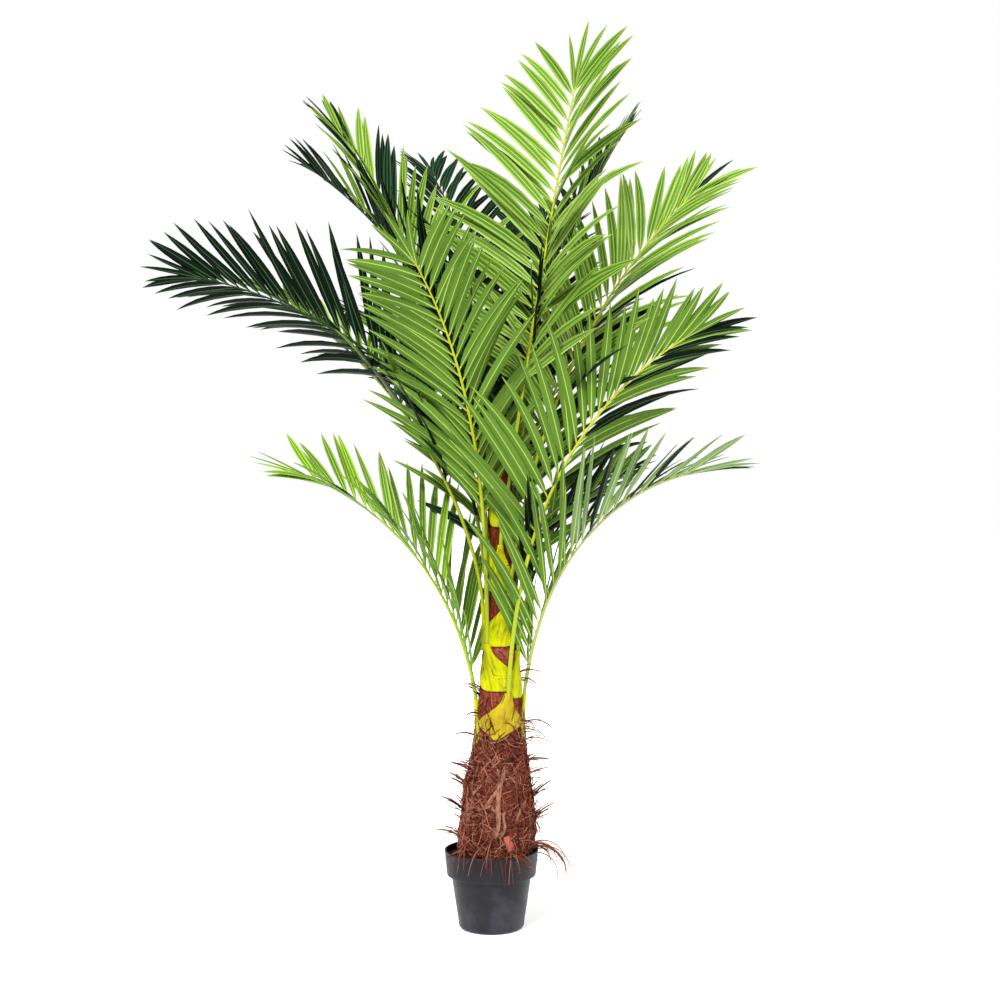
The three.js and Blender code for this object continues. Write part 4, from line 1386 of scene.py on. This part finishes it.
def soft_light(name, strength, spread, place, aim):
    """Even light from one side, as wide as its spread in degrees, that comes from the place
    towards the aim."""
    data = bpy.data.lights.new(name, "SUN")
    data.energy = strength
    data.angle = math.radians(spread)
    light = bpy.data.objects.new(name, data)
    light.location = place
    forward = unit(np.subtract(aim, place))
    light.rotation_euler = (
        math.acos(-forward[2]), 0.0, math.atan2(forward[1], forward[0]) - math.pi / 2
    )
    bpy.context.scene.collection.objects.link(light)


class MakeStage(bpy.types.Operator):
    """Makes the camera, the floor and the light"""

    bl_idname = "palm.make_stage"
    bl_label = "Stage"
    bl_options = {"REGISTER", "UNDO"}

    def execute(self, context):
        scene = context.scene
        settings = scene.palm_stage

        data = bpy.data.cameras.new("camera")
        data.lens = settings.lens
        data.sensor_width = 36
        data.clip_end = 100
        camera = bpy.data.objects.new("camera", data)
        camera.location = (CAMERA_SIDE, -settings.distance, settings.eye)
        camera.rotation_euler = (math.pi / 2, 0, 0)
        scene.collection.objects.link(camera)
        scene.camera = camera

        size = 30.0
        mesh = bpy.data.meshes.new("floor")
        corners = [(-size, -size, 0), (size, -size, 0), (size, size, 0), (-size, size, 0)]
        mesh.from_pydata(corners, [], [(0, 1, 2, 3)])
        floor = bpy.data.objects.new("floor", mesh)
        # The floor is a lit table, so what falls on it casts only a faint shadow.
        material = new_surface(
            "matt_floor", tuple(settings.floor), 0.9, Emission_Color=linear("#ffffff"),
            Emission_Strength=settings.table,
        )
        mesh.materials.append(material)
        scene.collection.objects.link(floor)

        world = bpy.data.worlds.new("studio")
        world.use_nodes = True
        tree = world.node_tree
        daylight = tree.nodes["Background"]
        daylight.inputs["Color"].default_value = linear("#ffffff")
        daylight.inputs["Strength"].default_value = settings.daylight
        # The backdrop itself stays white, however dim the light that it sheds.
        backdrop = add_node(tree, "ShaderNodeBackground", Color=linear("#ffffff"))
        seen = add_node(tree, "ShaderNodeLightPath")
        mixed = add_node(tree, "ShaderNodeMixShader", [
            (0, seen.outputs["Is Camera Ray"]), (1, daylight.outputs["Background"]),
            (2, backdrop.outputs["Background"]),
        ])
        tree.links.new(mixed.outputs["Shader"], tree.nodes["World Output"].inputs["Surface"])
        scene.world = world

        for name, (strength, spread, place, aim) in LIGHTS.items():
            soft_light(name, settings.key * strength, spread, place, aim)
        scene.view_settings.view_transform = "Standard"
        return {"FINISHED"}


# ---- panel and registration

STEPS = (MakeStage, MakePot, MakeFilling, MakeTrunk, MakeCoir, MakeStraps, MakeFronds)
SETTINGS = {
    "palm_pot": PotSettings, "palm_trunk": TrunkSettings, "palm_frond": FrondSettings,
    "palm_stage": StageSettings,
}


class PalmPanel(bpy.types.Panel):
    """Lists the palm's settings and its pieces"""

    bl_idname = "VIEW3D_PT_palm"
    bl_label = "Artificial Date Palm"
    bl_space_type = "VIEW_3D"
    bl_region_type = "UI"
    bl_category = "Palm"

    def draw(self, context):
        for step in STEPS:
            self.layout.operator(step.bl_idname)
        for name, group in SETTINGS.items():
            box = self.layout.box()
            box.label(text=group.__name__.replace("Settings", ""))
            for key in group.__annotations__:
                box.prop(getattr(context.scene, name), key)


def register():
    """Registers the settings, the operators and the panel."""
    for group in SETTINGS.values():
        bpy.utils.register_class(group)
    for name, group in SETTINGS.items():
        setattr(bpy.types.Scene, name, bpy.props.PointerProperty(type=group))
    for item in (*STEPS, PalmPanel):
        bpy.utils.register_class(item)


def unregister():
    """Takes everything back that register made."""
    for item in (PalmPanel, *reversed(STEPS)):
        bpy.utils.unregister_class(item)
    for name in SETTINGS:
        delattr(bpy.types.Scene, name)
    for group in SETTINGS.values():
        bpy.utils.unregister_class(group)


def main():
    """Builds the palm and its stage."""
    register()
    bpy.ops.palm.make_stage()
    bpy.ops.palm.make_pot()
    bpy.ops.palm.make_filling()
    bpy.ops.palm.make_trunk()
    bpy.ops.palm.make_coir()
    bpy.ops.palm.make_straps()
    bpy.ops.palm.make_fronds()


if __name__ == "__main__":
    main()
